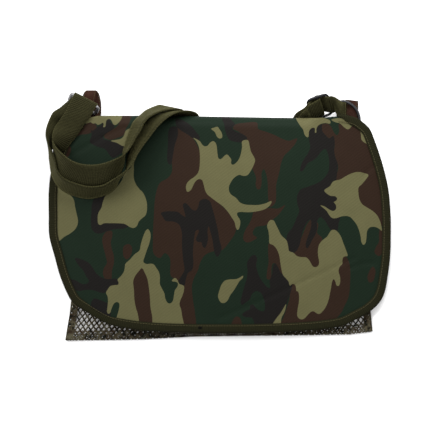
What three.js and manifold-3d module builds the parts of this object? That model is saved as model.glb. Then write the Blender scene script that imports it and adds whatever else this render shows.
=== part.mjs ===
// Game bag lying on its back: cloth flap with a bound edge over a net pouch, leather tabs with metal
// rings at the top corners and a doubled webbing shoulder strap. Millimetres, +X to the right in the
// front view, +Y towards the top of the bag, +Z up from the floor it lies on.
import * as THREE from "three";
import { mergeVertices } from "three/addons/utils/BufferGeometryUtils.js";
import Module from "manifold-3d";

const wasm = await Module();
wasm.setup();

// Driving dimensions
const CLOTH = 1.5; // wall of the cloth pieces
const FIT_GAP = 0.3; // clearance between pieces that touch
const FLAP_BOTTOM = -136.4; // lower edge of the flap at its middle
const FOLD_Y = 102.5; // where the front of the flap begins to turn over the top
const CROWN = 33; // height of the flap's front above the floor at the fold
const EDGE_DROP = 0.85; // share of its height that the flap loses at its side edges
const EDGE_REST = 5; // height that the side edges fall towards
const HALF_SPAN = 200; // half the width over which the sides fall
const REAR_Z = 6.9; // underside of the flap where it lies on the back panel
const REAR_LENGTH = 17; // overlap of the flap on the back panel
const REAR_LEFT = -118; // left edge of the cloth that goes over the top
const REAR_RIGHT = 98;
const EAR_EASE = 18; // width over which the fold opens out into a free corner
const EAR_TOP = 116; // top of the flap's two free corners
const TAPE_WIDTH = 9; // binding on each face of the flap
const TAPE_WALL = 1;
const TAPE_GAP = 0.5; // clearance between the tape and the cloth inside it
const NET_WALL = 1.2;
const NET_MOUTH = 74;
const STRAP_WIDTH = 30;
const STRAP_WALL = 1.5;
const LEATHER = 2;
const WIRE = 1.5; // radius of the left ring's and the slider's wire
const D_WIRE = 1.65; // radius of the right ring's wire
const UPPER_RUN_Z = 3.5; // the two strap layers where they pass under the bag
const LOWER_RUN_Z = 1.4;
const RIBBON_STEPS = 3; // sections between two rows of a strap or tab
const TAB_WIDTH = 15;
const WIRE_SIDES = 10;
const CENTRE_X = 1.15; // middle of the whole bag, taken as the origin
const CENTRE_Y = -0.25;

// Flap outline, from the free top corners down to the lower edge
const FLAP_EDGE = [
  { y: EAR_TOP, left: -141, right: 148 },
  { y: 113, left: -153, right: 161 },
  { y: 108, left: -163, right: 169 },
  { y: 100, left: -171.5, right: 177.5 },
  { y: 88, left: -180, right: 182.5 },
  { y: 76, left: -186, right: 187 },
  { y: 53, left: -195, right: 194 },
  { y: 30, left: -198.5, right: 199.5 },
  { y: 0, left: -199, right: 202 },
  { y: -24, left: -198, right: 202 },
  { y: -48, left: -192, right: 200.5 },
  { y: -70, left: -184.5, right: 198 },
  { y: -89.5, left: -177, right: 195 },
  { y: -101, left: -169.5, right: 190.5 },
  { y: -112, left: -153.5, right: 178 },
  { y: -122, left: -137, right: 158.5 },
  { y: -127.5, left: -123.5, right: 147 },
  { y: -132, left: -101, right: 122 },
  { y: -134.8, left: -72, right: 84 },
  { y: FLAP_BOTTOM, left: -30, right: 34 },
];

// Height of the flap's front down its middle
const FLAP_CROWN = [
  { y: 120, z: CROWN },
  { y: 50, z: 33 },
  { y: 0, z: 30.5 },
  { y: -50, z: 25.5 },
  { y: -100, z: 18.5 },
  { y: -140, z: 12.5 },
];

// Net pouch, from its mouth to its lower edge: half-height of the sack and the middle of its depth
const NET_SECTION = [
  { along: 0, left: -160, right: 164, mid: 13.2, half: 5.6 },
  { along: 0.12, left: -163, right: 167, mid: 13, half: 5.6 },
  { along: 0.3, left: -165, right: 171, mid: 11.5, half: 6 },
  { along: 0.5, left: -168, right: 174, mid: 8.6, half: 6.2 },
  { along: 0.7, left: -170, right: 176, mid: 7.2, half: 5 },
  { along: 0.86, left: -174, right: 178, mid: 5, half: 3.1 },
  { along: 0.95, left: -177.5, right: 180, mid: 3.9, half: 2.2 },
  { along: 1, left: -179.2, right: 181, mid: 3.4, half: 1.9 },
];
const NET_HEM = [
  { x: -185, y: -146.8 },
  { x: -131, y: -146 },
  { x: -86, y: -144.6 },
  { x: -26, y: -141 },
  { x: 110, y: -140.3 },
  { x: 154, y: -139.4 },
  { x: 185, y: -135.6 },
];

// Back panel, from its top edge to its lower edge: underside and side edges
const PANEL_SECTION = [
  { y: 104, left: -160, right: 166, z: 5 },
  { y: 90, left: -168, right: 172, z: 5 },
  { y: 60, left: -178, right: 180, z: 5 },
  { y: 34, left: -184, right: 186, z: 5 },
  { y: 20, left: -186, right: 188, z: 2.5 },
  { y: 6, left: -187, right: 190, z: 0 },
  { y: -60, left: -178, right: 188, z: 0 },
  { y: -90, left: -163, right: 180, z: 0 },
  { y: -112, left: -140, right: 162, z: 0 },
  { y: -124, left: -110, right: 130, z: 0 },
  { y: -129, left: -60, right: 70, z: 0 },
];

// Shoulder strap where it lies over the left corner, each row the two selvedges of one section.
// The near layer runs from the left ring down, round and over the top of the bag.
const NEAR_LAYER = [
  { l: [-179, 123, 24.5], r: [-148, 115, 27] },
  { l: [-189, 106, 26], r: [-159.5, 101, 24.5] },
  { l: [-193, 96, 37], r: [-170, 87, 21.5] },
  { l: [-193.5, 90, 41.5], r: [-180.5, 76, 19] },
  { l: [-193, 87, 43.5], r: [-192, 73, 17] },
  { l: [-188.5, 78.5, 45], r: [-191, 67, 17.5] },
  { l: [-180.5, 70, 44.5], r: [-188.5, 56.5, 19] },
  { l: [-171, 63, 43], r: [-183, 47, 20.5] },
  { l: [-159.5, 59, 42], r: [-168.5, 38.5, 22.5] },
  { l: [-147.5, 58, 43], r: [-150, 33.5, 26] },
  { l: [-136, 59, 46.5], r: [-132.5, 35, 28.7] },
  { l: [-125.5, 62, 51.5], r: [-118.5, 42.5, 31] },
  { l: [-116, 66.5, 57], r: [-111.5, 54, 31.5] },
  { l: [-109, 70.5, 60.5], r: [-109.5, 64.5, 31.5] },
  { l: [-106.5, 73, 61], r: [-111, 73, 31.5] },
  { l: [-100, 82, 60.5], r: [-108.5, 82, 32] },
  { l: [-95.5, 90.5, 60], r: [-106, 91, 32] },
  { l: [-90.5, 98, 59.5], r: [-103, 99.5, 32.5] },
  { l: [-85.5, 108, 58.5], r: [-99, 108.5, 32] },
  { l: [-80.5, 116, 54], r: [-92, 116, 27] },
  { l: [-66, 120, 44], r: [-84.5, 121.5, 21] },
  { l: [-49.5, 123, 31], r: [-73, 126, 14] },
  { l: [-42, 121, 14], r: [-69.5, 125, 6] },
  { l: [-40, 116, 3.4], r: [-69, 118.5, 2.2] },
  { l: [-39, 106, LOWER_RUN_Z], r: [-69, 108, LOWER_RUN_Z] },
];
// The far layer, under the near one at the ring and outside it round the turn.
const FAR_LAYER = [
  { l: [-185, 126, 20.5], r: [-157, 115.5, 22.5] },
  { l: [-196.5, 112.5, 29], r: [-177, 105, 10] },
  { l: [-200.5, 99.5, 39], r: [-188, 90, 13.5] },
  { l: [-200.5, 91.5, 40], r: [-194, 78, 14.5] },
  { l: [-198, 82.5, 39.5], r: [-198, 69, 12.5] },
  { l: [-193.5, 75, 39.5], r: [-198, 61, 13] },
  { l: [-190.5, 64.5, 40], r: [-197, 50.5, 14] },
  { l: [-187, 54, 41.5], r: [-192, 41, 15.5] },
  { l: [-179, 44.5, 43.5], r: [-184, 32, 17.5] },
  { l: [-166.5, 37, 47], r: [-170, 23.5, 21] },
  { l: [-150, 33, 51], r: [-151, 20, 24.5] },
  { l: [-133.5, 35, 53.5], r: [-131.5, 25.5, 28] },
  { l: [-123, 40, 57], r: [-122, 33, 30] },
  { l: [-113.5, 46.5, 59.5], r: [-115, 42.5, 31] },
  { l: [-104.5, 54, 60], r: [-108.5, 50, 31.8] },
  { l: [-99, 60.5, 60], r: [-105.5, 58.5, 32] },
  { l: [-94, 70.5, 60], r: [-102, 68, 32.3] },
  { l: [-87.5, 80, 60], r: [-98.5, 78.5, 33] },
  { l: [-80, 89.5, 60], r: [-92.5, 88, 33.5] },
  { l: [-68, 104.5, 58], r: [-83.5, 102, 34] },
  { l: [-55, 115.5, 52], r: [-74, 112.5, 31] },
  { l: [-40, 121.5, 39], r: [-62, 118.5, 20] },
  { l: [-26, 119.5, 19], r: [-53.5, 118, 9.5] },
  { l: [-22, 114, 7.6], r: [-51.5, 113, 6.2] },
  { l: [-21, 104, UPPER_RUN_Z], r: [-51, 103, UPPER_RUN_Z] },
];
// The two layers between the floor run and the slider at the right corner.
const UPPER_RISE = [
  { l: [92, 107, 3.8], r: [121.5, 104, UPPER_RUN_Z] },
  { l: [98, 118.5, 15.5], r: [118.5, 105.5, 4.8] },
  { l: [103, 123, 26], r: [114.5, 107.5, 7.5] },
];
const LOWER_RISE = [
  { l: [86.5, 108, LOWER_RUN_Z + 0.5], r: [116, 104.5, LOWER_RUN_Z] },
  { l: [90, 116, 10.5], r: [113, 104, 2.2] },
  { l: [97.5, 123, 21], r: [110, 105, 3.8] },
];

// The two layers' way round under the bag
const UPPER_RUN = { from: -36, to: 106.5, y: 97, depth: 42, z: UPPER_RUN_Z };
const LOWER_RUN = { from: -54, to: 101, y: 99, depth: 44, z: LOWER_RUN_Z };
const RUN_ROWS = 8;
const RUN_FULLNESS = 0.8;

// Left ring: a leaning rectangular loop; the strap turns round its upper bar
const LEFT_RING = { x: -155.7, y: 133.7, top: 21, bottom: 5.6, half: 17.6, turn: -27.6, round: 3 };
const RING_LEAN = THREE.MathUtils.degToRad(27); // of the left ring, from upright
// Right ring: a flat D whose straight bar carries the strap's sewn end
const RIGHT_RING = { x: 142.5, y: 111, z: 11.4, radius: 22.8, strapY: 115.5, hem: 7, sweep: 80 };
const D_CORNER = { drop: 0.9, out: 0.5, bar: 2.4 }; // rounding where the arc meets the bar
const D_STEPS = 18;
// Slider: centre, tilt of its long axis, half-length over the bars and spacing of the bars
const SLIDER = { x: 118.8, y: 126.6, z: 20.5, half: 18.6, pitch: 12.5, round: 6 };
const SLIDER_ACROSS = new THREE.Vector3(0.2, -0.6, -0.775).normalize();
const SLIDER_ALONG = new THREE.Vector3(-0.945, -0.326, 0).normalize();

// Leather tabs: each row the two edges of one section of the folded strip
const LEFT_TAB_ROWS = [
  { l: [-154, 92, 7.9], r: [-138, 92, 7.9] },
  { l: [-154, 104, 7.7], r: [-138, 104, 7.7] },
  { l: [-153, 118, 2.9], r: [-136.5, 118, 2.9] },
  { l: [-153, 132, 2.7], r: [-136.8, 132, 2.7] },
  { l: [-154.5, 141.5, 2.8], r: [-139.2, 141, 2.8] },
  { l: [-156, 145.4, 5.6], r: [-141.5, 145.4, 5.6] },
  { l: [-157.7, 141.5, 8.4], r: [-143.5, 140.5, 8.4] },
  { l: [-159.5, 132, 8.6], r: [-145.5, 132, 8.6] },
  { l: [-163.5, 118, 9], r: [-149, 117, 9] },
  { l: [-167, 106, 9.4], r: [-156.5, 104, 9.4] },
];
const RIGHT_TAB_ROWS = [
  { l: [149.5, 134, 5.6], r: [164.5, 132, 5.6] },
  { l: [149.5, 120, 6.9], r: [164.5, 118, 6.9] },
  { l: [149.5, 106, 8], r: [164.5, 106, 8] },
  { l: [149.5, 88, 8.3], r: [164.5, 88, 8.3] },
  { l: [149.5, 82.8, 11.5], r: [164.5, 82.8, 11.5] },
  { l: [149.5, 88, 14.9], r: [164.5, 88, 14.9] },
  { l: [149.5, 98, 14.7], r: [164.5, 98, 14.7] },
];

const v3 = (p) => new THREE.Vector3(p[0], p[1], p[2]);
const clamp01 = (t) => Math.min(1, Math.max(0, t));
const smooth = (t) => t * t * (3 - 2 * t);

// Value of a table column at a place along another column
function readTable(rows, key, at, column) {
  const rising = rows[rows.length - 1][key] > rows[0][key];
  for (let i = 1; i < rows.length; i += 1) {
    const a = rows[i - 1];
    const b = rows[i];
    const inside = rising ? at <= b[key] : at >= b[key];
    if (inside || i === rows.length - 1) {
      const t = clamp01((at - a[key]) / (b[key] - a[key]));
      return a[column] + (b[column] - a[column]) * t;
    }
  }
  return rows[0][column];
}

// Closed geometry from points and triangles, turned so that its faces point out
function geometry(points, triangles) {
  let volume = 0;
  for (let i = 0; i < triangles.length; i += 3) {
    const [a, b, c] = [points[triangles[i]], points[triangles[i + 1]], points[triangles[i + 2]]];
    volume += a.dot(b.clone().cross(c));
  }
  if (volume < 0) triangles.reverse();
  const made = new THREE.BufferGeometry();
  const flat = points.flatMap((p) => [p.x, p.y, p.z]);
  made.setAttribute("position", new THREE.Float32BufferAttribute(flat, 3));
  made.setIndex(triangles);
  made.computeVertexNormals();
  return made;
}

// Skin between rings of points; each ring closes on itself and the ends are capped by ladders
function skinRings(rings, loop = false) {
  const n = rings[0].length;
  const triangles = [];
  const last = loop ? rings.length : rings.length - 1;
  for (let i = 0; i < last; i += 1) {
    const a = i * n;
    const b = ((i + 1) % rings.length) * n;
    for (let k = 0; k < n; k += 1) {
      const m = (k + 1) % n;
      triangles.push(a + k, a + m, b + m, a + k, b + m, b + k);
    }
  }
  if (!loop) {
    ladder(triangles, 0, n, false);
    ladder(triangles, (rings.length - 1) * n, n, true);
  }
  return geometry(rings.flat(), triangles);
}

// Cap of a ring of points, as a ladder between its two halves
function ladder(triangles, start, n, flip) {
  for (let k = 0; k < n / 2 - 1; k += 1) {
    const quad = [start + k, start + k + 1, start + n - 2 - k, start + n - 1 - k];
    const order = flip ? [0, 1, 2, 0, 2, 3] : [0, 2, 1, 0, 3, 2];
    triangles.push(...order.map((q) => quad[q]));
  }
}

// Sheet of cloth from a grid of points on its upper face, with a wall below it
function sheetSolid(grid, wall) {
  const rows = grid.length;
  const cols = grid[0].length;
  const under = grid.map((row, i) =>
    row.map((p, j) => {
      const along = grid[Math.min(i + 1, rows - 1)][j].clone().sub(grid[Math.max(i - 1, 0)][j]);
      const across = row[Math.min(j + 1, cols - 1)].clone().sub(row[Math.max(j - 1, 0)]);
      return p.clone().addScaledVector(along.cross(across).normalize(), wall);
    }),
  );
  const rings = grid.map((row, i) => [...row, ...under[i].slice().reverse()]);
  return skinRings(rings);
}

// Flat ribbon swept through rows of selvedge points, kept at its width all along
function ribbonSolid(rows, width, wall) {
  const left = new THREE.CatmullRomCurve3(rows.map((row) => v3(row.l)), false, "centripetal");
  const right = new THREE.CatmullRomCurve3(rows.map((row) => v3(row.r)), false, "centripetal");
  const count = (rows.length - 1) * RIBBON_STEPS;
  const mids = [];
  const arms = [];
  for (let i = 0; i <= count; i += 1) {
    const a = left.getPoint(i / count);
    const b = right.getPoint(i / count);
    mids.push(a.clone().add(b).multiplyScalar(0.5));
    arms.push(b.sub(a).normalize().multiplyScalar(width / 2));
  }
  const rings = mids.map((mid, i) => {
    const travel = mids[Math.min(i + 1, count)].clone().sub(mids[Math.max(i - 1, 0)]);
    const up = travel.cross(arms[i]).normalize().multiplyScalar(wall / 2);
    return [
      mid.clone().sub(arms[i]).sub(up),
      mid.clone().add(arms[i]).sub(up),
      mid.clone().add(arms[i]).add(up),
      mid.clone().sub(arms[i]).add(up),
    ];
  });
  return skinRings(rings);
}

// Round wire along the stations of a flat closed path, given the plane's normal
function wireLoop(path, normal, radius) {
  const n = path.length;
  const rings = path.map((at, i) => {
    const travel = path[(i + 1) % n].clone().sub(path[(i + n - 1) % n]);
    const out = travel.cross(normal).normalize();
    const ring = [];
    for (let k = 0; k < WIRE_SIDES; k += 1) {
      const a = (2 * Math.PI * k) / WIRE_SIDES;
      ring.push(
        at.clone().addScaledVector(out, radius * Math.cos(a)).addScaledVector(normal, radius * Math.sin(a)),
      );
    }
    return ring;
  });
  return skinRings(rings, true);
}

function solidOf(made) {
  const bare = made.clone();
  bare.deleteAttribute("normal");
  bare.deleteAttribute("uv");
  const merged = mergeVertices(bare, 1e-4);
  const mesh = new wasm.Mesh({
    numProp: 3,
    vertProperties: new Float32Array(merged.attributes.position.array),
    triVerts: new Uint32Array(merged.index.array),
  });
  return new wasm.Manifold(mesh);
}

function geometryOf(solid) {
  const mesh = solid.getMesh();
  const made = new THREE.BufferGeometry();
  made.setAttribute("position", new THREE.Float32BufferAttribute(mesh.vertProperties, 3));
  made.setIndex([...mesh.triVerts]);
  made.computeVertexNormals();
  return made;
}

// Flap: height of its front, and the cloth laid over the top fold
function frontZ(x, y) {
  const rise = readTable(FLAP_CROWN, "y", y, "z") - EDGE_REST;
  return EDGE_REST + rise * (1 - EDGE_DROP * Math.abs(x / HALF_SPAN) ** 3);
}
const FRONT_LENGTH = FOLD_Y - FLAP_BOTTOM;

// Point on the flap's outer face: run is measured up from the lower edge, over the fold and down behind
function flapPoint(x, run) {
  const y = FLAP_BOTTOM + run;
  const past = run - FRONT_LENGTH;
  if (past <= 0) return new THREE.Vector3(x, y, frontZ(x, y));
  const top = frontZ(x, FOLD_Y);
  const radius = (top - REAR_Z) / 2;
  const angle = Math.min(past / radius, Math.PI);
  const rest = past - angle * radius;
  const folded = new THREE.Vector3(
    x,
    FOLD_Y + radius * Math.sin(angle) - rest,
    top - radius + radius * Math.cos(angle),
  );
  const flat = new THREE.Vector3(x, y, top);
  const side = (x > 0 ? x - REAR_RIGHT : REAR_LEFT - x) / EAR_EASE;
  return folded.lerp(flat, smooth(clamp01(side)));
}

function flapNormal(x, run) {
  const h = CLOTH / 3;
  const across = flapPoint(x + h, run).sub(flapPoint(x - h, run));
  const along = flapPoint(x, run + h).sub(flapPoint(x, run - h));
  return across.cross(along).normalize();
}

const edgeCurve = (side) =>
  new THREE.CatmullRomCurve3(
    FLAP_EDGE.map((row) => new THREE.Vector3(row[side], row.y, 0)),
    false,
    "centripetal",
  ).getPoints(120);
const LEFT_EDGE = edgeCurve("left");
const RIGHT_EDGE = edgeCurve("right");
const edgeAt = (edge, y) => readTable(edge, "y", y, "x");

const FLAP_ROWS = 22;
const FLAP_COLS = 20;
const FOLD_ROWS = 9;

function flapSolid() {
  const rear = Math.PI * ((CROWN - REAR_Z) / 2) + REAR_LENGTH;
  const runs = [];
  for (let i = 0; i <= FLAP_ROWS; i += 1) {
    const t = i / FLAP_ROWS;
    runs.push((EAR_TOP - FLAP_BOTTOM) * (0.5 - 0.5 * Math.cos(Math.PI * t)));
  }
  const grid = runs.map((run) => {
    const y = FLAP_BOTTOM + run;
    return flapRow(run, edgeAt(LEFT_EDGE, y), edgeAt(RIGHT_EDGE, y));
  });
  const earRun = EAR_TOP - FLAP_BOTTOM;
  for (let i = 0; i <= FOLD_ROWS; i += 1) {
    const run = earRun + 1 + (FRONT_LENGTH + rear - earRun - 1) * (i / FOLD_ROWS);
    grid.push(flapRow(run, REAR_LEFT, REAR_RIGHT));
  }
  return sheetSolid(grid, CLOTH);
}

function flapRow(run, left, right) {
  const row = [];
  for (let j = 0; j <= FLAP_COLS; j += 1) {
    row.push(flapPoint(left + (right - left) * (j / FLAP_COLS), run));
  }
  return row;
}

// Binding: a tape folded round the flap's edge, from one free top corner to the other
const TAPE_STATIONS = 84;
const TAPE_ROUND = 0.7; // height of the folded edge as a share of the tape's

function bindingSolid() {
  const outline = [...LEFT_EDGE, ...RIGHT_EDGE.slice().reverse()];
  const path = new THREE.CatmullRomCurve3(outline, false, "centripetal").getSpacedPoints(TAPE_STATIONS);
  const near = CLOTH / 2 + TAPE_GAP;
  const far = near + TAPE_WALL;
  const lip = -TAPE_GAP;
  const round = far * TAPE_ROUND;
  const section = [
    [TAPE_WIDTH, near], [TAPE_WIDTH, far], [TAPE_WIDTH / 2, far], [lip - TAPE_WALL, round],
    [lip - TAPE_WALL, -round], [TAPE_WIDTH / 2, -far], [TAPE_WIDTH, -far], [TAPE_WIDTH, -near],
    [TAPE_WIDTH / 2, -near], [lip, -near], [lip, near], [TAPE_WIDTH / 2, near],
  ];
  const rings = path.map((p, i) => {
    const travel = path[Math.min(i + 1, TAPE_STATIONS)].clone().sub(path[Math.max(i - 1, 0)]).normalize();
    const inward = new THREE.Vector2(-travel.y, travel.x);
    return section.map(([inset, lift]) => {
      const x = p.x + inward.x * inset;
      const run = p.y + inward.y * inset - FLAP_BOTTOM;
      return flapPoint(x, run).addScaledVector(flapNormal(x, run), lift - CLOTH / 2);
    });
  });
  return skinOpenTape(rings);
}

// Tape skin whose C section is capped leg by leg
function skinOpenTape(rings) {
  const n = rings[0].length;
  const triangles = [];
  for (let i = 0; i < rings.length - 1; i += 1) {
    const a = i * n;
    for (let k = 0; k < n; k += 1) {
      const m = (k + 1) % n;
      triangles.push(a + k, a + m, a + n + m, a + k, a + n + m, a + n + k);
    }
  }
  const pairs = [[0, 1, 2, 11], [11, 2, 3, 10], [10, 3, 4, 9], [9, 4, 5, 8], [8, 5, 6, 7]];
  const end = (rings.length - 1) * n;
  for (const [a, b, c, d] of pairs) {
    triangles.push(a, c, b, a, d, c);
    triangles.push(end + a, end + b, end + c, end + a, end + c, end + d);
  }
  return geometry(rings.flat(), triangles);
}

// Net pouch: a flattened sack, open at its mouth
const NET_ROWS = 14;
const NET_ROUND = 30;
const NET_SIDE = 0.8; // fullness of the sack's section across and in depth
const NET_DEEP = 0.6;

function netRing(t, inset, endGap) {
  const at = Math.min(t, 1 - endGap);
  const left = readTable(NET_SECTION, "along", at, "left") + inset;
  const right = readTable(NET_SECTION, "along", at, "right") - inset;
  const mid = readTable(NET_SECTION, "along", at, "mid");
  const half = readTable(NET_SECTION, "along", at, "half") - inset;
  const ring = [];
  for (let k = 0; k < NET_ROUND; k += 1) {
    const a = (2 * Math.PI * (k + 0.5)) / NET_ROUND - Math.PI / 2;
    const c = Math.sin(a);
    const s = Math.cos(a);
    const x = (left + right) / 2 + ((right - left) / 2) * Math.sign(c) * Math.abs(c) ** NET_SIDE;
    const z = mid + half * Math.sign(s) * Math.abs(s) ** NET_DEEP;
    const hem = readTable(NET_HEM, "x", x, "y");
    ring.push(new THREE.Vector3(x, NET_MOUTH + (hem - NET_MOUTH) * at, z));
  }
  return ring;
}

function netSolid() {
  const end = NET_WALL / (NET_MOUTH - NET_HEM[0].y);
  const outer = [];
  const inner = [];
  for (let i = 0; i <= NET_ROWS; i += 1) {
    const t = (i / NET_ROWS) ** NET_SIDE;
    outer.push(netRing(t, 0, 0));
    inner.push(netRing(t, NET_WALL, end));
  }
  return skinRings([...inner.reverse(), ...outer]);
}

// Back panel: cloth on the floor, raised at the top over the strap
const PANEL_COLS = 14;

function panelSolid() {
  const grid = PANEL_SECTION.map((row) => {
    const points = [];
    for (let j = 0; j <= PANEL_COLS; j += 1) {
      points.push(new THREE.Vector3(row.left + (row.right - row.left) * (j / PANEL_COLS), row.y, row.z));
    }
    return points;
  });
  const rings = grid.map((row) => {
    const upper = row.map((p) => new THREE.Vector3(p.x, p.y, p.z + CLOTH));
    return [...upper, ...row.slice().reverse()];
  });
  return skinRings(rings);
}

// Half-turn of the strap round a bar: rows from one side of the bar to the other
function turnRound(centre, across, out, up, radius, steps) {
  const rows = [];
  for (let i = 0; i <= steps; i += 1) {
    const a = Math.PI * (i / steps);
    const mid = centre
      .clone()
      .addScaledVector(out, radius * Math.sin(a))
      .addScaledVector(up, radius * Math.cos(a));
    const arm = across.clone().multiplyScalar(STRAP_WIDTH / 2);
    rows.push({ l: mid.clone().sub(arm).toArray(), r: mid.add(arm).toArray() });
  }
  return rows;
}

// Strap under the bag: the plain way round from the left of the top edge to the right
function floorRun(run) {
  const rows = [];
  const middle = (run.from + run.to) / 2;
  const span = (run.to - run.from) / 2;
  for (let i = 0; i <= RUN_ROWS; i += 1) {
    const a = Math.PI * (i / RUN_ROWS);
    const x = middle - span * Math.cos(a);
    const y = run.y - run.depth * Math.sin(a) ** RUN_FULLNESS;
    const inward = new THREE.Vector2(run.depth * Math.cos(a), span * Math.sin(a)).normalize();
    const arm = inward.multiplyScalar(STRAP_WIDTH / 2);
    rows.push({ l: [x + arm.x, y + arm.y, run.z], r: [x - arm.x, y - arm.y, run.z] });
  }
  return rows;
}

// Row of the strap inside the slider, by its place along the strap and above the bars
function slideRow(along, lift) {
  const normal = SLIDER_ALONG.clone().cross(SLIDER_ACROSS).normalize();
  const mid = new THREE.Vector3(SLIDER.x, SLIDER.y, SLIDER.z);
  mid.addScaledVector(SLIDER_ALONG, along).addScaledVector(normal, lift);
  const arm = SLIDER_ACROSS.clone().multiplyScalar(STRAP_WIDTH / 2);
  return { l: mid.clone().sub(arm).toArray(), r: mid.add(arm).toArray() };
}

const Z = new THREE.Vector3(0, 0, 1);
const RING_TURN = THREE.MathUtils.degToRad(LEFT_RING.turn);
const LEFT_BAR = new THREE.Vector3(Math.cos(RING_TURN), Math.sin(RING_TURN), 0);
const LEFT_OUT = new THREE.Vector3(-LEFT_BAR.y, LEFT_BAR.x, 0);

function strapSolid() {
  const seat = STRAP_WALL / 2 + FIT_GAP;
  const ringBar = new THREE.Vector3(RIGHT_RING.x, RIGHT_RING.strapY, RIGHT_RING.z);
  const down = new THREE.Vector3(0, -1, 0);
  const right = new THREE.Vector3(1, 0, 0);
  const sewnTurn = turnRound(ringBar, down, right, Z, D_WIRE + seat, 4).reverse();
  const hemEnd = sewnTurn[0];
  const hem = {
    l: [hemEnd.l[0] - RIGHT_RING.hem, hemEnd.l[1], hemEnd.l[2]],
    r: [hemEnd.r[0] - RIGHT_RING.hem, hemEnd.r[1], hemEnd.r[2]],
  };
  const low = -(WIRE + seat);
  const slack = WIRE / 3;
  const diagonal = low * Math.SQRT1_2;
  const through = [
    slideRow(-SLIDER.pitch - 6 * slack, 2 * slack - low),
    slideRow(-SLIDER.pitch, 1.5 * slack - low),
    slideRow(-SLIDER.pitch / 2, -2 * slack),
    slideRow(0, low - STRAP_WALL - slack),
    slideRow(SLIDER.pitch / 2, -2 * slack),
    slideRow(SLIDER.pitch, slack - low),
  ];
  const sewnEnd = [
    slideRow(SLIDER.pitch, STRAP_WALL + 3 * slack - low),
    slideRow(SLIDER.pitch / 2, 3 * slack - low),
    slideRow(slack, -low),
    slideRow(diagonal, -diagonal),
    slideRow(low, 0),
    slideRow(diagonal, diagonal),
    slideRow(slack, low),
  ];
  const leftBar = new THREE.Vector3(LEFT_RING.x, LEFT_RING.y, LEFT_RING.top);
  const leftTurn = turnRound(leftBar, LEFT_BAR, LEFT_OUT, Z, WIRE + seat, 4).reverse();
  const rows = [
    hem,
    ...sewnTurn,
    ...through,
    ...LOWER_RISE.slice().reverse(),
    ...floorRun(LOWER_RUN).reverse(),
    ...NEAR_LAYER.slice().reverse(),
    ...leftTurn.slice().reverse(),
    ...FAR_LAYER,
    ...floorRun(UPPER_RUN),
    ...UPPER_RISE,
    ...sewnEnd,
  ];
  return ribbonSolid(rows, STRAP_WIDTH, STRAP_WALL);
}

// Rounded rectangle path in the plane of two directions
function loopPath(centre, first, second, halfFirst, halfSecond, round) {
  const path = [];
  const corners = [[1, 1], [-1, 1], [-1, -1], [1, -1]];
  const bend = 3;
  for (let i = 0; i < corners.length; i += 1) {
    const [a, b] = corners[i];
    for (let k = 0; k <= bend; k += 1) {
      const turn = (Math.PI / 2) * (i + k / bend);
      path.push(
        centre
          .clone()
          .addScaledVector(first, a * (halfFirst - round) + round * Math.cos(turn))
          .addScaledVector(second, b * (halfSecond - round) + round * Math.sin(turn)),
      );
    }
  }
  return path;
}

function leftRingSolid() {
  const lean = Z.clone().multiplyScalar(Math.cos(RING_LEAN)).addScaledVector(LEFT_OUT, Math.sin(RING_LEAN));
  const tall = (LEFT_RING.top - LEFT_RING.bottom) / 2 / Math.cos(RING_LEAN);
  const bar = new THREE.Vector3(LEFT_RING.x, LEFT_RING.y, LEFT_RING.top);
  const path = loopPath(bar.addScaledVector(lean, -tall), LEFT_BAR, lean, LEFT_RING.half, tall, LEFT_RING.round);
  return wireLoop(path, LEFT_BAR.clone().cross(lean), WIRE);
}

function rightRingSolid() {
  const { x, y, z, radius, sweep } = RIGHT_RING;
  const path = [];
  for (let i = 0; i <= D_STEPS; i += 1) {
    const a = THREE.MathUtils.degToRad(sweep * ((2 * i) / D_STEPS - 1));
    path.push(new THREE.Vector3(x + radius * Math.cos(a), y + radius * Math.sin(a), z));
  }
  path.push(new THREE.Vector3(x + D_CORNER.out, y + radius - D_CORNER.drop, z));
  path.push(new THREE.Vector3(x, y + radius - D_CORNER.bar, z));
  path.push(new THREE.Vector3(x, y - radius + D_CORNER.bar, z));
  path.push(new THREE.Vector3(x + D_CORNER.out, y - radius + D_CORNER.drop, z));
  return wireLoop(path, Z, D_WIRE);
}

function sliderSolid() {
  const centre = new THREE.Vector3(SLIDER.x, SLIDER.y, SLIDER.z);
  const normal = SLIDER_ALONG.clone().cross(SLIDER_ACROSS).normalize();
  const path = loopPath(centre, SLIDER_ALONG, SLIDER_ACROSS, SLIDER.pitch, SLIDER.half, SLIDER.round);
  const frame = wireLoop(path, normal, WIRE);
  const bar = new THREE.CylinderGeometry(WIRE, WIRE, 2 * SLIDER.half, WIRE_SIDES);
  const turn = new THREE.Quaternion().setFromUnitVectors(new THREE.Vector3(0, 1, 0), SLIDER_ACROSS);
  bar.applyQuaternion(turn).translate(centre.x, centre.y, centre.z);
  return geometryOf(solidOf(frame).add(solidOf(bar)));
}

function finish(colour, roughness, metalness = 0) {
  return new THREE.MeshStandardMaterial({ color: colour, roughness, metalness, side: THREE.DoubleSide });
}

function piece(name, made, material) {
  const mesh = new THREE.Mesh(made.translate(-CENTRE_X, -CENTRE_Y, 0), material);
  mesh.name = name;
  return mesh;
}

const cloth = finish(0x4a5540, 0.9);
const tape = finish(0x3c3a24, 0.9);
const webbing = finish(0x56532f, 0.85);
const leather = finish(0x5f3a2c, 0.6);
const metal = finish(0x6c6c6c, 0.35, 0.9);

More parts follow.
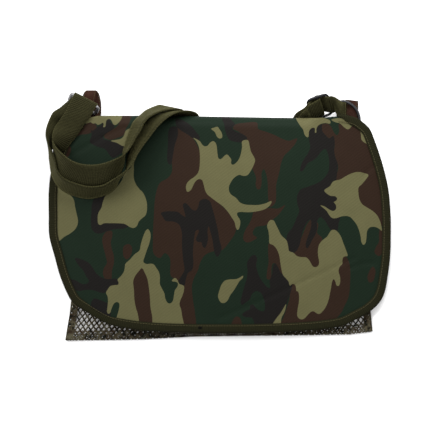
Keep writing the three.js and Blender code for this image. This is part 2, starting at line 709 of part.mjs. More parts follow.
const bag = new THREE.Group();
bag.name = "game_bag";
bag.add(piece("back_panel", panelSolid(), cloth));
bag.add(piece("net_pouch", netSolid(), finish(0x4b4634, 0.9)));
bag.add(piece("flap", flapSolid(), cloth.clone()));
bag.add(piece("flap_binding", bindingSolid(), tape));
bag.add(piece("shoulder_strap", strapSolid(), webbing));
bag.add(piece("left_tab", ribbonSolid(LEFT_TAB_ROWS, TAB_WIDTH, LEATHER), leather));
bag.add(piece("right_tab", ribbonSolid(RIGHT_TAB_ROWS, TAB_WIDTH, LEATHER), leather.clone()));
bag.add(piece("left_ring", leftRingSolid(), metal));
bag.add(piece("right_ring", rightRingSolid(), metal.clone()));
bag.add(piece("strap_slider", sliderSolid(), metal.clone()));

export default bag;
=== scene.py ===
"""Looks of a game bag on its back: printed flap, net pouch, webbing strap, leather tabs and rings."""

import logging
import math
from dataclasses import dataclass, field
from enum import Enum
from typing import Any, Callable, NamedTuple, Sequence

import bpy
import numpy as np
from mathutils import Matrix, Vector
from mathutils.geometry import delaunay_2d_cdt


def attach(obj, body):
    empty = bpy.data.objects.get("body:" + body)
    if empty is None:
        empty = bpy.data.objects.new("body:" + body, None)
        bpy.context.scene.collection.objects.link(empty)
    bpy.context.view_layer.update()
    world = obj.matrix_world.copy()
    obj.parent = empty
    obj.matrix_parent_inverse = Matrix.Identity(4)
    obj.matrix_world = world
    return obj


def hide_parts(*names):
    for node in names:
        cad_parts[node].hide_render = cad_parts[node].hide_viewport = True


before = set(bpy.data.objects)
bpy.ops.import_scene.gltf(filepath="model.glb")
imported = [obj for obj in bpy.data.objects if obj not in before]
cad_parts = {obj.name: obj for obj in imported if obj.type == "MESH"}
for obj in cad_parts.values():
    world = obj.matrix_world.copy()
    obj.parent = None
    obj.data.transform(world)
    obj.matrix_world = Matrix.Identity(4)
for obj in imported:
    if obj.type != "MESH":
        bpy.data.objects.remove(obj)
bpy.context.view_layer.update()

LOG = logging.getLogger("game_bag")
MM = 0.001
# Middle of the bag's box in the millimetres used here; the row's origin lies there, on the floor.
CENTRE = np.array([1.15, -0.25, 0.0])
UP = np.array([0.0, 0.0, 1.0])
BODY = "root"
# Half the distance over which a cloth's slope is measured, in millimetres.
SLOPE_REACH = 0.4

Array = np.ndarray
Colour = tuple[float, float, float]


class Slot(Enum):
    """Names of the bag's material slots."""

    CLOTH = "camouflage_cloth"
    NET = "net_cord"
    TAPE = "binding_tape"
    WEBBING = "webbing"
    LEATHER = "tab_leather"
    RING = "ring_metal"
    SLIDER = "slider_metal"


class Ink(Enum):
    """Colours of the printed cloth, in the order in which they are laid down."""

    GREEN = 0
    BROWN = 1
    BLACK = 2
    BEIGE = 3


class Value:
    """A socket of a material's node tree, with arithmetic that makes the Math nodes."""

    def __init__(self, shader: "Shader", socket: bpy.types.NodeSocket) -> None:
        """Keeps the socket and the shader that it belongs to."""
        self.shader = shader
        self.socket = socket

    def maths(self, operation: str, *inputs: "Value | float",
              first: "Value | float | None" = None) -> "Value":
        """Applies a Math node.

        Args:
            operation: the Math node's operation.
            inputs: the operands after this value.
            first: an operand put before this value.

        Returns:
            The node's result.
        """
        operands = [self, *inputs] if first is None else [first, self, *inputs]
        node = self.shader.node("ShaderNodeMath", {"operation": operation}, dict(enumerate(operands)))
        return Value(self.shader, node.outputs[0])

    def __add__(self, other: "Value | float") -> "Value":
        """Sum."""
        return self.maths("ADD", other)

    def __radd__(self, other: float) -> "Value":
        """Sum with a number on the left."""
        return self.maths("ADD", other)

    def __sub__(self, other: "Value | float") -> "Value":
        """Difference."""
        return self.maths("SUBTRACT", other)

    def __rsub__(self, other: float) -> "Value":
        """Difference from a number."""
        return self.maths("SUBTRACT", first=other)

    def __mul__(self, other: "Value | float") -> "Value":
        """Product."""
        return self.maths("MULTIPLY", other)

    def __rmul__(self, other: float) -> "Value":
        """Product with a number on the left."""
        return self.maths("MULTIPLY", other)

    def __truediv__(self, other: "Value | float") -> "Value":
        """Quotient."""
        return self.maths("DIVIDE", other)

    def __rtruediv__(self, other: float) -> "Value":
        """Quotient of a number by this value."""
        return self.maths("DIVIDE", first=other)

    def sine(self) -> "Value":
        """Sine of this value in radians."""
        return self.maths("SINE")

    def absolute(self) -> "Value":
        """Size of this value without its sign."""
        return self.maths("ABSOLUTE")

    def wave(self, pitch: float) -> "Value":
        """Sine wave of a given pitch in metres, from -1 to 1."""
        return (self * (2 * math.pi / pitch)).sine()


class Shader:
    """One material and its node tree."""

    def __init__(self, name: str) -> None:
        """Makes the material with its Principled surface."""
        self.material = bpy.data.materials.new(name)
        self.material.use_nodes = True
        self.tree = self.material.node_tree
        self.surface = self.tree.nodes["Principled BSDF"]

    def node(self, kind: str, settings: dict[str, Any], sockets: dict[Any, Any]) -> bpy.types.Node:
        """Makes any node.

        Args:
            kind: Blender's type name of the node.
            settings: properties set before the sockets.
            sockets: values or links by socket name or index.

        Returns:
            The node.
        """
        made = self.tree.nodes.new(kind)
        for key, value in settings.items():
            setattr(made, key, value)
        for key, value in sockets.items():
            self.feed(made.inputs[key], value)
        return made

    def feed(self, socket: bpy.types.NodeSocket, value: Any) -> None:
        """Links a value to a socket, or sets a constant on it."""
        if isinstance(value, Value):
            self.tree.links.new(value.socket, socket)
        elif isinstance(value, bpy.types.NodeSocket):
            self.tree.links.new(value, socket)
        else:
            socket.default_value = value

    def place(self) -> tuple[Value, Value, Value]:
        """Object coordinates in metres, as three values."""
        coords = self.node("ShaderNodeTexCoord", {}, {}).outputs["Object"]
        split = self.node("ShaderNodeSeparateXYZ", {}, {0: coords})
        return tuple(Value(self, out) for out in split.outputs)

    def along(self, layer: str) -> tuple[Value, Value]:
        """A UV layer's two coordinates in metres."""
        coords = self.node("ShaderNodeUVMap", {"uv_map": layer}, {}).outputs[0]
        split = self.node("ShaderNodeSeparateXYZ", {}, {0: coords})
        return Value(self, split.outputs[0]), Value(self, split.outputs[1])

    def noise(self, size: float, detail: float = 2.0) -> Value:
        """Noise from 0 to 1 over the object.

        Args:
            size: size of its patches in metres.
            detail: octaves of finer noise.

        Returns:
            The noise.
        """
        coords = self.node("ShaderNodeTexCoord", {}, {}).outputs["Object"]
        made = self.node("ShaderNodeTexNoise", {}, {"Vector": coords, "Scale": 1 / size, "Detail": detail})
        return Value(self, made.outputs[0])

    def mottle(self, size: float, strength: float, detail: float = 2.0) -> Value:
        """Noise about 0, with patches of a size in metres."""
        return (self.noise(size, detail) - 0.5) * strength

    def mix(self, first: Colour | bpy.types.NodeSocket, second: Colour,
            amount: Value) -> bpy.types.NodeSocket:
        """Colour between two.

        Args:
            first: the colour at an amount of 0, plain or from a node.
            second: the plain colour at an amount of 1.
            amount: the share of the second.

        Returns:
            The mixed colour.
        """
        start = (*first, 1.0) if isinstance(first, tuple) else first
        sockets = {0: amount, 6: start, 7: (*second, 1.0)}
        return self.node("ShaderNodeMix", {"data_type": "RGBA"}, sockets).outputs[2]

    def relief(self, height: Value, depth: float) -> None:
        """Feeds the surface's normal from a height in units of depth metres."""
        bump = self.node("ShaderNodeBump", {}, {"Height": height, "Distance": depth})
        self.feed(self.surface.inputs["Normal"], bump.outputs[0])

    def set(self, **constants: Any) -> None:
        """Sets constants on the surface's sockets, with _ for a space in their names."""
        for key, value in constants.items():
            self.surface.inputs[key.replace("_", " ")].default_value = value


def shade(colour: Colour, factor: float) -> Colour:
    """A colour made lighter or darker."""
    return tuple(min(1.0, part * factor) for part in colour)


@dataclass(frozen=True)
class ClothFinish:
    """Printed twill cloth in one ink."""

    name: str
    colour: Colour
    pitch: float = 0.003
    contrast: float = 0.1
    twill: float = 0.00003
    slope: tuple[float, float] = (0.6, 0.8)
    line_share: float = 0.13
    wear: tuple[float, float] = (0.02, 0.8)
    flecks: tuple[float, float] = (0.0012, 0.9)
    slub_size: float = 0.003
    slub_height: float = 2.0
    roughness: float = 0.6
    gloss: float = 0.042

    def make(self) -> bpy.types.Material:
        """Makes the twill's diagonal lines and a little wear.

        Returns:
            The material.
        """
        shader = Shader(self.name)
        x, y, _ = shader.place()
        lines = (y * self.slope[1] - x * self.slope[0]).wave(self.pitch)
        amount = 0.5 + lines * self.line_share + shader.mottle(*self.wear) + shader.mottle(*self.flecks)
        dark, light = shade(self.colour, 1 - self.contrast), shade(self.colour, 1 + self.contrast)
        shader.feed(shader.surface.inputs["Base Color"], shader.mix(dark, light, amount))
        shader.relief(lines + shader.noise(self.slub_size) * self.slub_height, self.twill)
        shader.set(Roughness=self.roughness, Specular_IOR_Level=self.gloss)
        return shader.material


@dataclass(frozen=True)
class TapeFinish:
    """Woven tape or webbing with ribs across it, read from the piece's own length."""

    name: str
    colour: Colour
    rib: float
    rows: float
    contrast: float = 0.2
    depth: float = 0.0002
    # half: half-width from which a painted highlight runs out to both selvedges; 0 paints none.
    half: float = 0.0
    nap: float = 0.0
    rib_share: float = 0.45
    warp_share: float = 0.15
    dye: tuple[float, float] = (0.0018, 1.3)
    # The next five fields shape that painted selvedge highlight: its band, its ramp, how much lighter it
    # is, and the pitch and depth of its breaks along the strip.
    highlight_band: float = 0.002
    highlight_ramp: float = 700.0
    highlight_gain: float = 1.9
    highlight_break_pitch: float = 0.0032
    highlight_break_share: float = 0.45
    rib_height: float = 0.6
    warp_height: float = 0.3
    fuzz_size: float = 0.0015
    roughness: float = 0.9
    gloss: float = 0.035
    nap_roughness: float = 0.4
    nap_light: float = 7.0

    def make(self) -> bpy.types.Material:
        """Makes ribs, warp lines, uneven dye, a painted highlight along both edges, broken up along the
        length, and a fibrous nap.

        Returns:
            The material.
        """
        shader = Shader(self.name)
        along, across = shader.along("strip")
        ribs = along.wave(self.rib)
        warp = across.wave(self.rows)
        amount = 0.5 + ribs * self.rib_share + warp * self.warp_share + shader.mottle(*self.dye)
        dark, light = shade(self.colour, 1 - self.contrast), shade(self.colour, 1 + self.contrast)
        colour = shader.mix(dark, light, amount)
        if self.half:
            # Painted highlight along both selvedges, standing in for light caught by their raised edges,
            # broken up along the strip.
            highlight_breaks = along.wave(self.highlight_break_pitch) * self.highlight_break_share + 0.5
            edge = (across.absolute() - (self.half - self.highlight_band)) * self.highlight_ramp * highlight_breaks
            colour = shader.mix(colour, shade(self.colour, self.highlight_gain), edge)
        shader.feed(shader.surface.inputs["Base Color"], colour)
        weave = ribs * self.rib_height + warp * self.warp_height
        shader.relief(weave + shader.noise(self.fuzz_size), self.depth)
        shader.set(Roughness=self.roughness, Specular_IOR_Level=self.gloss)
        shader.set(Sheen_Weight=self.nap, Sheen_Roughness=self.nap_roughness,
                   Sheen_Tint=(*shade(self.colour, self.nap_light), 1.0))
        return shader.material


@dataclass(frozen=True)
class CordFinish:
    """Mottled cord of the net: olive and brown yarn with black flecks."""

    name: str
    light: Colour
    brown: Colour
    black: Colour
    patch_size: float = 0.006
    patch_gain: float = 4.0
    patch_detail: float = 3.0
    fleck_size: float = 0.0045
    fleck_from: float = 0.47
    fleck_gain: float = 7.0
    fleck_detail: float = 4.0
    fibre: float = 0.0007
    depth: float = 0.0004
    roughness: float = 0.95
    gloss: float = 0.035

    def make(self) -> bpy.types.Material:
        """Makes patches of three yarn colours.

        Returns:
            The material.
        """
        shader = Shader(self.name)
        patches = shader.mottle(self.patch_size, self.patch_gain, self.patch_detail) + 0.5
        flecks = (shader.noise(self.fleck_size, self.fleck_detail) - self.fleck_from) * self.fleck_gain
        yarn = shader.mix(self.brown, self.light, patches)
        shader.feed(shader.surface.inputs["Base Color"], shader.mix(yarn, self.black, flecks))
        shader.relief(shader.noise(self.fibre), self.depth)
        shader.set(Roughness=self.roughness, Specular_IOR_Level=self.gloss)
        return shader.material


@dataclass(frozen=True)
class LeatherFinish:
    """Reddish brown leather with a fine grain."""

    name: str
    colour: Colour
    cells: float = 900.0
    rub: tuple[float, float] = (0.006, 2.2)
    dark: float = 0.6
    light: float = 1.35
    wrinkle: float = 0.002
    depth: float = 0.0003
    roughness: float = 0.65
    gloss: float = 0.045

    def make(self) -> bpy.types.Material:
        """Makes grain and rubbed patches.

        Returns:
            The material.
        """
        shader = Shader(self.name)
        coords = shader.node("ShaderNodeTexCoord", {}, {}).outputs["Object"]
        cells = shader.node("ShaderNodeTexVoronoi", {}, {"Vector": coords, "Scale": self.cells})
        grain = Value(shader, cells.outputs[0])
        amount = shader.mottle(*self.rub) + 0.5
        tint = shader.mix(shade(self.colour, self.dark), shade(self.colour, self.light), amount)
        shader.feed(shader.surface.inputs["Base Color"], tint)
        shader.relief(grain + shader.noise(self.wrinkle), self.depth)
        shader.set(Roughness=self.roughness, Specular_IOR_Level=self.gloss)
        return shader.material


@dataclass(frozen=True)
class MetalFinish:
    """Plated or lacquered wire with small scratches."""

    name: str
    colour: Colour
    roughness: float
    worn_size: float = 0.002
    worn_detail: float = 3.0
    worn_share: float = 0.25
    worn_bias: float = 0.12
    scratch: float = 0.0008
    depth: float = 0.00015

    def make(self) -> bpy.types.Material:
        """Makes uneven gloss.

        Returns:
            The material.
        """
        shader = Shader(self.name)
        worn = shader.noise(self.worn_size, self.worn_detail) * self.worn_share
        shader.feed(shader.surface.inputs["Roughness"], worn + (self.roughness - self.worn_bias))
        shader.relief(shader.noise(self.scratch), self.depth)
        shader.set(Base_Color=(*self.colour, 1.0), Metallic=1.0)
        return shader.material


@dataclass(frozen=True)
class PlainFinish:
    """One plain colour, for thread and the floor."""

    name: str
    colour: Colour
    roughness: float = 0.85
    glow: float = 0.0
    gloss: float = 0.03

    def make(self) -> bpy.types.Material:
        """Material of that colour."""
        shader = Shader(self.name)
        shader.set(Base_Color=(*self.colour, 1.0), Roughness=self.roughness, Specular_IOR_Level=self.gloss,
                   Emission_Color=(1.0, 1.0, 1.0, 1.0), Emission_Strength=self.glow)
        return shader.material


def curve_through(points: Array, steps: int, closed: bool = False) -> Array:
    """Centripetal Catmull-Rom curve through points.

    Args:
        points: the points, one a row.
        steps: samples between two points.
        closed: whether the curve runs back to its first point.

    Returns:
        Points along the curve, with the last point only where it is open.
    """
    points = np.asarray(points, float)
    if closed:
        padded = np.vstack([points[-1], points, points[0], points[1]])
    else:
        padded = np.vstack([2 * points[0] - points[1], points, 2 * points[-1] - points[-2]])
    p0, p1, p2, p3 = padded[:-3], padded[1:-2], padded[2:-1], padded[3:]
    d0, d1, d2 = (np.maximum(np.linalg.norm(b - a, axis=1), 1e-6)[:, None] ** 0.5
                  for a, b in ((p0, p1), (p1, p2), (p2, p3)))
    start = ((p1 - p0) / d0 - (p2 - p0) / (d0 + d1) + (p2 - p1) / d1) * d1
    end = ((p2 - p1) / d1 - (p3 - p1) / (d1 + d2) + (p3 - p2) / d2) * d1
    t = (np.arange(steps) / steps)[:, None, None]
    cube = 2 * p1 - 2 * p2 + start + end
    square = -3 * p1 + 3 * p2 - 2 * start - end
    sampled = p1 + start * t + square * t**2 + cube * t**3
    line = sampled.transpose(1, 0, 2).reshape(-1, points.shape[1])
    return line if closed else np.vstack([line, points[-1]])


def evenly(line: Array, step: float, closed: bool = False) -> Array:
    """Resamples a line of points at an even step."""
    line = np.vstack([line, line[0]]) if closed else line
    lengths = np.r_[0, np.cumsum(np.linalg.norm(np.diff(line, axis=0), axis=1))]
    count = max(3, round(lengths[-1] / step))
    at = np.linspace(0, lengths[-1], count + 1)
    made = np.stack([np.interp(at, lengths, column) for column in line.T], axis=1)
    return made[:-1] if closed else made


def inside(points: Array, outline: Array) -> Array:
    """Which points of a plane lie inside a closed outline.

    Args:
        points: the points, one a row.
        outline: the outline's corners.

    Returns:
        A truth value for each point.
    """
    result = np.zeros(len(points), bool)
    low, high = outline.min(0), outline.max(0)
    near = np.where(((points > low) & (points < high)).all(1))[0]
    x, y = points[near, 0][:, None], points[near, 1][:, None]
    (x0, y0), (x1, y1) = outline.T, np.roll(outline, -1, axis=0).T
    rise = np.where(y1 == y0, 1e-12, y1 - y0)
    crosses = ((y0 > y) != (y1 > y)) & (x < (x1 - x0) * (y - y0) / rise + x0)
    result[near] = crosses.sum(1) % 2 == 1
    return result


def cut_size(outline: Array) -> tuple[tuple[float, float], float]:
    """Flat size in metres and area in square metres of a piece cut to an outline in millimetres."""
    x, y = outline.T
    width, length = np.ptp(outline, axis=0) * MM
    area = abs(np.dot(x, np.roll(y, 1)) - np.dot(y, np.roll(x, 1))) / 2 * MM * MM
    return (float(width), float(length)), float(area)


def unit(vectors: Array) -> Array:
    """Vectors scaled to length 1 along their last axis."""
    return vectors / np.maximum(np.linalg.norm(vectors, axis=-1, keepdims=True), 1e-9)


Lay = Callable[[Array, Array], Array]


def laid_normals(lay: Lay, x: Array, y: Array) -> Array:
    """Outward normals of a laid cloth at points of its pattern.

    Args:
        lay: gives the place of a point of the pattern.
        x: the points' places across.
        y: their places along.

    Returns:
        A vector for each point.
    """
    across = lay(x + SLOPE_REACH, y) - lay(x - SLOPE_REACH, y)
    along = lay(x, y + SLOPE_REACH) - lay(x, y - SLOPE_REACH)
    return unit(np.cross(across, along))


class Skin(NamedTuple):
    """Points in millimetres and the faces between them."""

    points: Array
    faces: Array


def joined(skins: Sequence[Skin]) -> Skin:
    """Several skins as one."""
    starts = np.cumsum([0, *[len(skin.points) for skin in skins[:-1]]])
    faces = [skin.faces + start for skin, start in zip(skins, starts)]
    return Skin(np.vstack([skin.points for skin in skins]), np.vstack(faces))


def swept(rings: Array, closed: bool = False) -> Skin:
    """Skin over rings of points, with flat ends where the sweep is open.

    Args:
        rings: points by ring and by place round it; each ring closes on itself.
        closed: whether the last ring joins the first.

    Returns:
        The skin, of quads.
    """
    count, sides = rings.shape[:2]
    first = np.arange(count if closed else count - 1)
    a = first[:, None] * sides + np.arange(sides)
    b = ((first + 1) % count)[:, None] * sides + np.arange(sides)
    quads = np.stack([a, np.roll(a, -1, 1), np.roll(b, -1, 1), b], axis=-1).reshape(-1, 4)
    if not closed:
        k = np.arange(sides // 2 - 1)
        cap = np.stack([k, sides - 1 - k, sides - 2 - k, k + 1], axis=-1)
        quads = np.vstack([quads, cap, cap[:, ::-1] + (count - 1) * sides])
    return Skin(rings.reshape(-1, 3), quads)


def tubes(lines: Array, up: Array, wide: float, thick: float, sides: int = 4) -> Skin:
    """Tubes along many lines of the same number of points.

    Args:
        lines: points by line and place.
        up: normal of the sheet that the lines lie in, for each point.
        wide: half-width of a tube in the sheet.
        thick: half-thickness across the sheet.
        sides: corners of the section.

    Returns:
        One skin of all the tubes.
    """
    travel = unit(np.gradient(lines, axis=1))
    side = unit(np.cross(travel, up))
    turn = 2 * np.pi * np.arange(sides) / sides
    rings = (lines[:, :, None] + wide * np.cos(turn)[:, None] * side[:, :, None]
             + thick * np.sin(turn)[:, None] * up[:, :, None])
    return joined([swept(one) for one in rings])


def as_object(name: str, skin: Skin, finishes: Sequence[bpy.types.Material],
              inks: Array | None = None, strip: Array | None = None) -> bpy.types.Object:
    """A Blender object from a skin in millimetres.

    Args:
        name: the piece's name.
        skin: its points and faces.
        finishes: its materials.
        inks: the material of each face.
        strip: lengthwise and crosswise place of each point in millimetres, for woven strips.

    Returns:
        The object, riding on the bag's body.
    """
    mesh = bpy.data.meshes.new(name)
    mesh.from_pydata(((skin.points - CENTRE) * MM).tolist(), [], skin.faces.tolist())
    for finish in finishes:
        mesh.materials.append(finish)
    if inks is not None:
        mesh.polygons.foreach_set("material_index", np.asarray(inks, np.int32))
    if strip is not None:
        corners = np.zeros(len(mesh.loops), np.int32)
        mesh.loops.foreach_get("vertex_index", corners)
        places = (strip[corners] * MM).astype(np.float32)
        mesh.uv_layers.new(name="strip").data.foreach_set("uv", places.ravel())
    mesh.polygons.foreach_set("use_smooth", np.full(len(mesh.polygons), True))
    mesh.update()
    made = bpy.data.objects.new(name, mesh)
    bpy.context.scene.collection.objects.link(made)
    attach(made, BODY)
    LOG.info("%s: %d faces", name, len(skin.faces))
    return made


# Section of one stitch: places along it as shares of its length, and heights in thread radii.
STITCH_SHARE = (0.0, 0.25, 0.75, 1.0)
STITCH_LIFT = (-0.6, 0.5, 0.5, -0.6)


def stitches(line: Array, up: Array, length: float, radius: float) -> Skin:
    """A row of stitches sunk a little into the cloth at their ends.

    Args:
        line: points at the stitches' ends, at an even step.
        up: the cloth's normal at each point.
        length: length of one stitch as a share of the step.
        radius: radius of the thread.

    Returns:
        One skin of all the stitches.
    """
    share, lift = np.array(STITCH_SHARE), np.array(STITCH_LIFT) * radius
    span = (line[1:] - line[:-1]) * length
    threads = line[:-1, None] + span[:, None] * share[:, None] + up[:-1, None] * lift[:, None]
    return tubes(threads, np.repeat(up[:-1, None], len(lift), axis=1), radius, radius)


class PrintRow(NamedTuple):
    """One printed shape: its ink and its outline on the chart's squares, right and down."""

    ink: Ink
    outline: tuple[tuple[float, float], ...]


@dataclass(frozen=True)
class WoodlandPrint:
    """The cloth's print, charted on squares as the flap's front shows it."""

    square: float = 1.17
    middle: tuple[float, float] = (218.2, 215.2)
    step: float = 1.6
    curve_steps: int = 6

    def on_cloth(self, chart: Sequence[tuple[float, float]]) -> Array:
        """Points of the chart as millimetres right and up from the middle."""
        return (np.array(chart) - self.middle) * (self.square, -self.square)

    def shapes(self) -> list[tuple[Ink, Array]]:
        """Smooth outlines of the shapes.

        Returns:
            The ink and outline of each shape, right and up from the middle in millimetres.
        """
        made = []
        for row in WOODLAND:
            curve = curve_through(self.on_cloth(row.outline), self.curve_steps, closed=True)
            made.append((row.ink, evenly(curve, self.step, closed=True)))
        return made


@dataclass
class PrintedSheet:
    """Cloth cut to an outline in its flat pattern, printed, and laid in place."""

    name: str
    outline: Array
    shapes: list[tuple[Ink, Array]]
    lay: Lay
    wall: float
    mesh_step: float
    weld: float = 1e-4

    def build(self, finishes: Sequence[bpy.types.Material]) -> bpy.types.Object:
        """Cuts the pattern along the print's edges and lays it.

        Args:
            finishes: one material for each ink.

        Returns:
            The cloth as a closed wall.
        """
        flat, faces = self.cut()
        inks = np.zeros(len(faces), np.int32)
        centres = flat[faces].mean(1)
        for ink, shape in self.shapes:
            inks[inside(centres, shape)] = ink.value
        upper = self.lay(flat[:, 0], flat[:, 1])
        lower = upper - laid_normals(self.lay, flat[:, 0], flat[:, 1]) * self.wall
        count = len(flat)
        (a, b), owner = self.border(faces)
        wall = np.vstack([np.stack([b, a, a + count], 1), np.stack([b, a + count, b + count], 1)])
        skin = Skin(np.vstack([upper, lower]), np.vstack([faces, faces[:, ::-1] + count, wall]))
        return as_object(self.name, skin, finishes, np.r_[inks, inks, inks[owner], inks[owner]])

    def border(self, faces: Array) -> tuple[Array, Array]:
        """Sides of triangles that no other triangle shares.

        Args:
            faces: the triangles.

        Returns:
            The two ends of each such side, and the triangle that it belongs to.
        """
        sides = np.vstack([faces[:, [0, 1]], faces[:, [1, 2]], faces[:, [2, 0]]])
        size = faces.max() + 1
        alone = ~np.isin(sides[:, 0] * size + sides[:, 1], sides[:, 1] * size + sides[:, 0])
        return sides[alone].T, np.tile(np.arange(len(faces)), 3)[alone]

    def cut(self) -> tuple[Array, Array]:
        """Triangles of the pattern, with the outline and the print's edges among their sides.

        Returns:
            The pattern's points and its triangles.
        """
        low, high = self.outline.min(0), self.outline.max(0)
        loops = [self.outline, *[shape for _, shape in self.shapes]]
        grid = np.stack(np.meshgrid(np.arange(low[0], high[0], self.mesh_step),
                                    np.arange(low[1], high[1], self.mesh_step)), -1).reshape(-1, 2)
        points = np.vstack([*loops, grid[inside(grid, self.outline)]])
        edges, start = [], 0
        for loop in loops:
            index = start + np.arange(len(loop))
            edges += np.stack([index, np.roll(index, -1)], 1).tolist()
            start += len(loop)
        found = delaunay_2d_cdt([Vector(p) for p in points], edges, [], 0, self.weld)
        flat = np.array([tuple(p) for p in found[0]])
        faces = np.array([face for face in found[2] if len(face) == 3])
        used, kept = np.unique(faces[inside(flat[faces].mean(1), self.outline)], return_inverse=True)
        return flat[used], kept.reshape(-1, 3)


class EdgeRow(NamedTuple):
    """Side edges of the flap at one height."""

    y: float
    left: float
    right: float


FLAP_EDGE = (
    EdgeRow(116, -141, 147), EdgeRow(113, -153, 160), EdgeRow(108, -163, 168), EdgeRow(100, -171.5, 176.4),
    EdgeRow(88, -180, 181.5), EdgeRow(76, -185.5, 185.9), EdgeRow(53, -194, 193),
    EdgeRow(30, -197.1, 198.1), EdgeRow(0, -197.2, 200.7), EdgeRow(-24, -196.6, 200.9),
    EdgeRow(-48, -190.3, 200.2), EdgeRow(-70, -184.2, 197.5), EdgeRow(-89.5, -176.3, 193.8),
    EdgeRow(-101, -169.5, 188.2), EdgeRow(-112, -153.5, 176.5), EdgeRow(-122, -137, 158.5),
    EdgeRow(-127.5, -123.5, 147), EdgeRow(-132, -101, 122), EdgeRow(-134.8, -72, 84),
    EdgeRow(-136.4, -30, 34),
)
# Creases of the front, as points on the print chart's squares.
CREASES = (
    ((220, 318), (264, 299), (291, 287), (339, 265), (355, 258)),
    ((69, 156), (90, 144.5), (110, 134), (125, 128)),
    ((350, 268), (361, 264), (373, 263)),
    ((364, 176), (369, 169), (376, 166)),
)


@dataclass
class Flap:
    """Cloth that folds over the top of the bag and covers its front, with free upper corners."""

    cloth: float = 1.5
    fold_y: float = 102.5
    top_x: tuple[float, ...] = (-118, -60, 0, 98)
    top_y: tuple[float, ...] = (116.6, 116.4, 115.2, 113.6)
    crown_y: tuple[float, ...] = (-140, -100, -50, 0, 50, 120)
    crown_z: tuple[float, ...] = (12.5, 18.5, 25.5, 30.5, 33, 33)
    edge_drop: float = 0.85
    edge_rest: float = 5.0
    half_span: float = 200.0
    rear_z: float = 6.9
    rear_length: float = 17.0
    rear_left: float = -118.0
    rear_right: float = 98.0
    ear_ease: float = 18.0
    ear_tops: tuple[float, float] = (116.0, 113.4)
    crease_depth: float = 0.9
    crease_width: float = 2.1
    crease_step: float = 2.0
    crown_ease: tuple[float, ...] = (-18, -9, 0, 9, 18)
    curve_steps: int = 8
    edge_step: float = 3.0
    rear_step: float = 4.0
    ear_steps: int = 7
    rim_reach: float = 40.0
    rim_steps: int = 400
    rim_ease: float = 0.05
    mesh_step: float = 2.6

    def creased(self, x: Array, y: Array) -> Array:
        """Depth of the packing creases at points of the front."""
        depth = np.zeros(np.shape(x))
        for row in CREASES:
            line = evenly(WoodlandPrint().on_cloth(row), self.crease_step)
            away = np.full(np.shape(x), np.inf)
            for px, py in line:
                away = np.minimum(away, np.hypot(x - px, y - py))
            depth += self.crease_depth * np.exp(-((away / self.crease_width) ** 2))
        return depth

    def height(self, x: Array, y: Array) -> Array:
        """Height of the front above the floor."""
        eased = [np.interp(y + ease, self.crown_y, self.crown_z) for ease in self.crown_ease]
        crown = np.mean(eased, axis=0) - self.edge_rest
        return self.edge_rest + crown * (1 - self.edge_drop * np.abs(x / self.half_span) ** 3)

    def opened(self, x: Array) -> Array:
        """How far the top fold opens out into the free corners, from 0 to 1."""
        side = np.clip(np.where(x > 0, x - self.rear_right, self.rear_left - x) / self.ear_ease, 0, 1)
        return side * side * (3 - 2 * side)

    def lay(self, x: Array, y: Array) -> Array:
        """Place of a point of the flat pattern on the outer face.

        Args:
            x: across.
            y: up the front, on over the fold and down behind.

        Returns:
            Points in millimetres.
        """
        top, radius, fold = self.turn(x)
        past = np.maximum(y - fold, 0)
        angle = np.minimum(past / radius, np.pi)
        rest = past - angle * radius
        folded_y = fold + radius * np.sin(angle) - rest
        folded_z = top - radius + radius * np.cos(angle)
        open_ = self.opened(x)
        behind_y = folded_y + (y - folded_y) * open_
        behind_z = folded_z + (top - folded_z) * open_
        front = past <= 0
        face = self.height(x, y) - self.creased(x, y)
        return np.stack([x, np.where(front, y, behind_y), np.where(front, face, behind_z)], -1)

    def turn(self, x: Array) -> tuple[Array, Array, Array]:
        """The top fold across the flap: height of its front, its radius and where it begins."""
        top = self.height(x, np.full_like(x, self.fold_y))
        radius = (top - self.rear_z) / 2
        return top, radius, np.interp(x, self.top_x, self.top_y) - radius

    def unrolled(self, shape: Array) -> Array:
        """A shape as the front shows it, laid back into the flat pattern at the fold."""
        x, y = shape.T
        _, radius, fold = self.turn(x)
        share = np.maximum(y - fold, 0) / radius
        over = radius * np.where(share < 1, np.arcsin(np.minimum(share, 1)), np.pi / 2 + 2 * (share - 1))
        pattern = np.where(share > 0, fold + over, y)
        return np.stack([x, pattern + (y - pattern) * self.opened(x)], -1)

    def sides(self) -> tuple[Array, Array]:
        """The left and right edges as smooth lines, from the top down."""
        rows = np.array(FLAP_EDGE)
        return tuple(curve_through(rows[:, [column, 0]], self.curve_steps) for column in (1, 2))

    def edge(self, step: float) -> Array:
        """The bound edge from one free corner down and round to the other."""
        left, right = self.sides()
        return evenly(np.vstack([left, right[::-1]]), step)

    def pattern(self) -> Array:
        """Outline of the whole cut piece, the part behind the top included."""
        rear = self.fold_y + np.pi * (self.crown_z[-1] - self.rear_z) / 2 + self.rear_length
        behind = [(self.rear_right, rear), (self.rear_left, rear)]
        shares = np.linspace(1, 0, self.ear_steps)
        right = [self.rim(self.rear_right + self.ear_ease * share) for share in shares]
        left = [self.rim(self.rear_left - self.ear_ease * share) for share in shares[::-1]]
        return np.vstack([self.edge(self.edge_step), right, evenly(np.array(behind), self.rear_step), left])

    def rim(self, x: float) -> tuple[float, float]:
        """Point of the flat pattern that lies on the top line, where a free corner begins."""
        y = np.linspace(self.fold_y, self.fold_y + self.rim_reach, self.rim_steps)
        laid = self.lay(np.full_like(y, x), y)[:, 1]
        ends = (self.rear_left - self.ear_ease, self.rear_left,
                self.rear_right, self.rear_right + self.ear_ease)
        left, right = self.ear_tops
        top = np.interp(x, ends, (left, self.top_y[0], self.top_y[-1], right))
        return x, float(y[np.argmax(laid >= min(top, laid.max()) - self.rim_ease)])

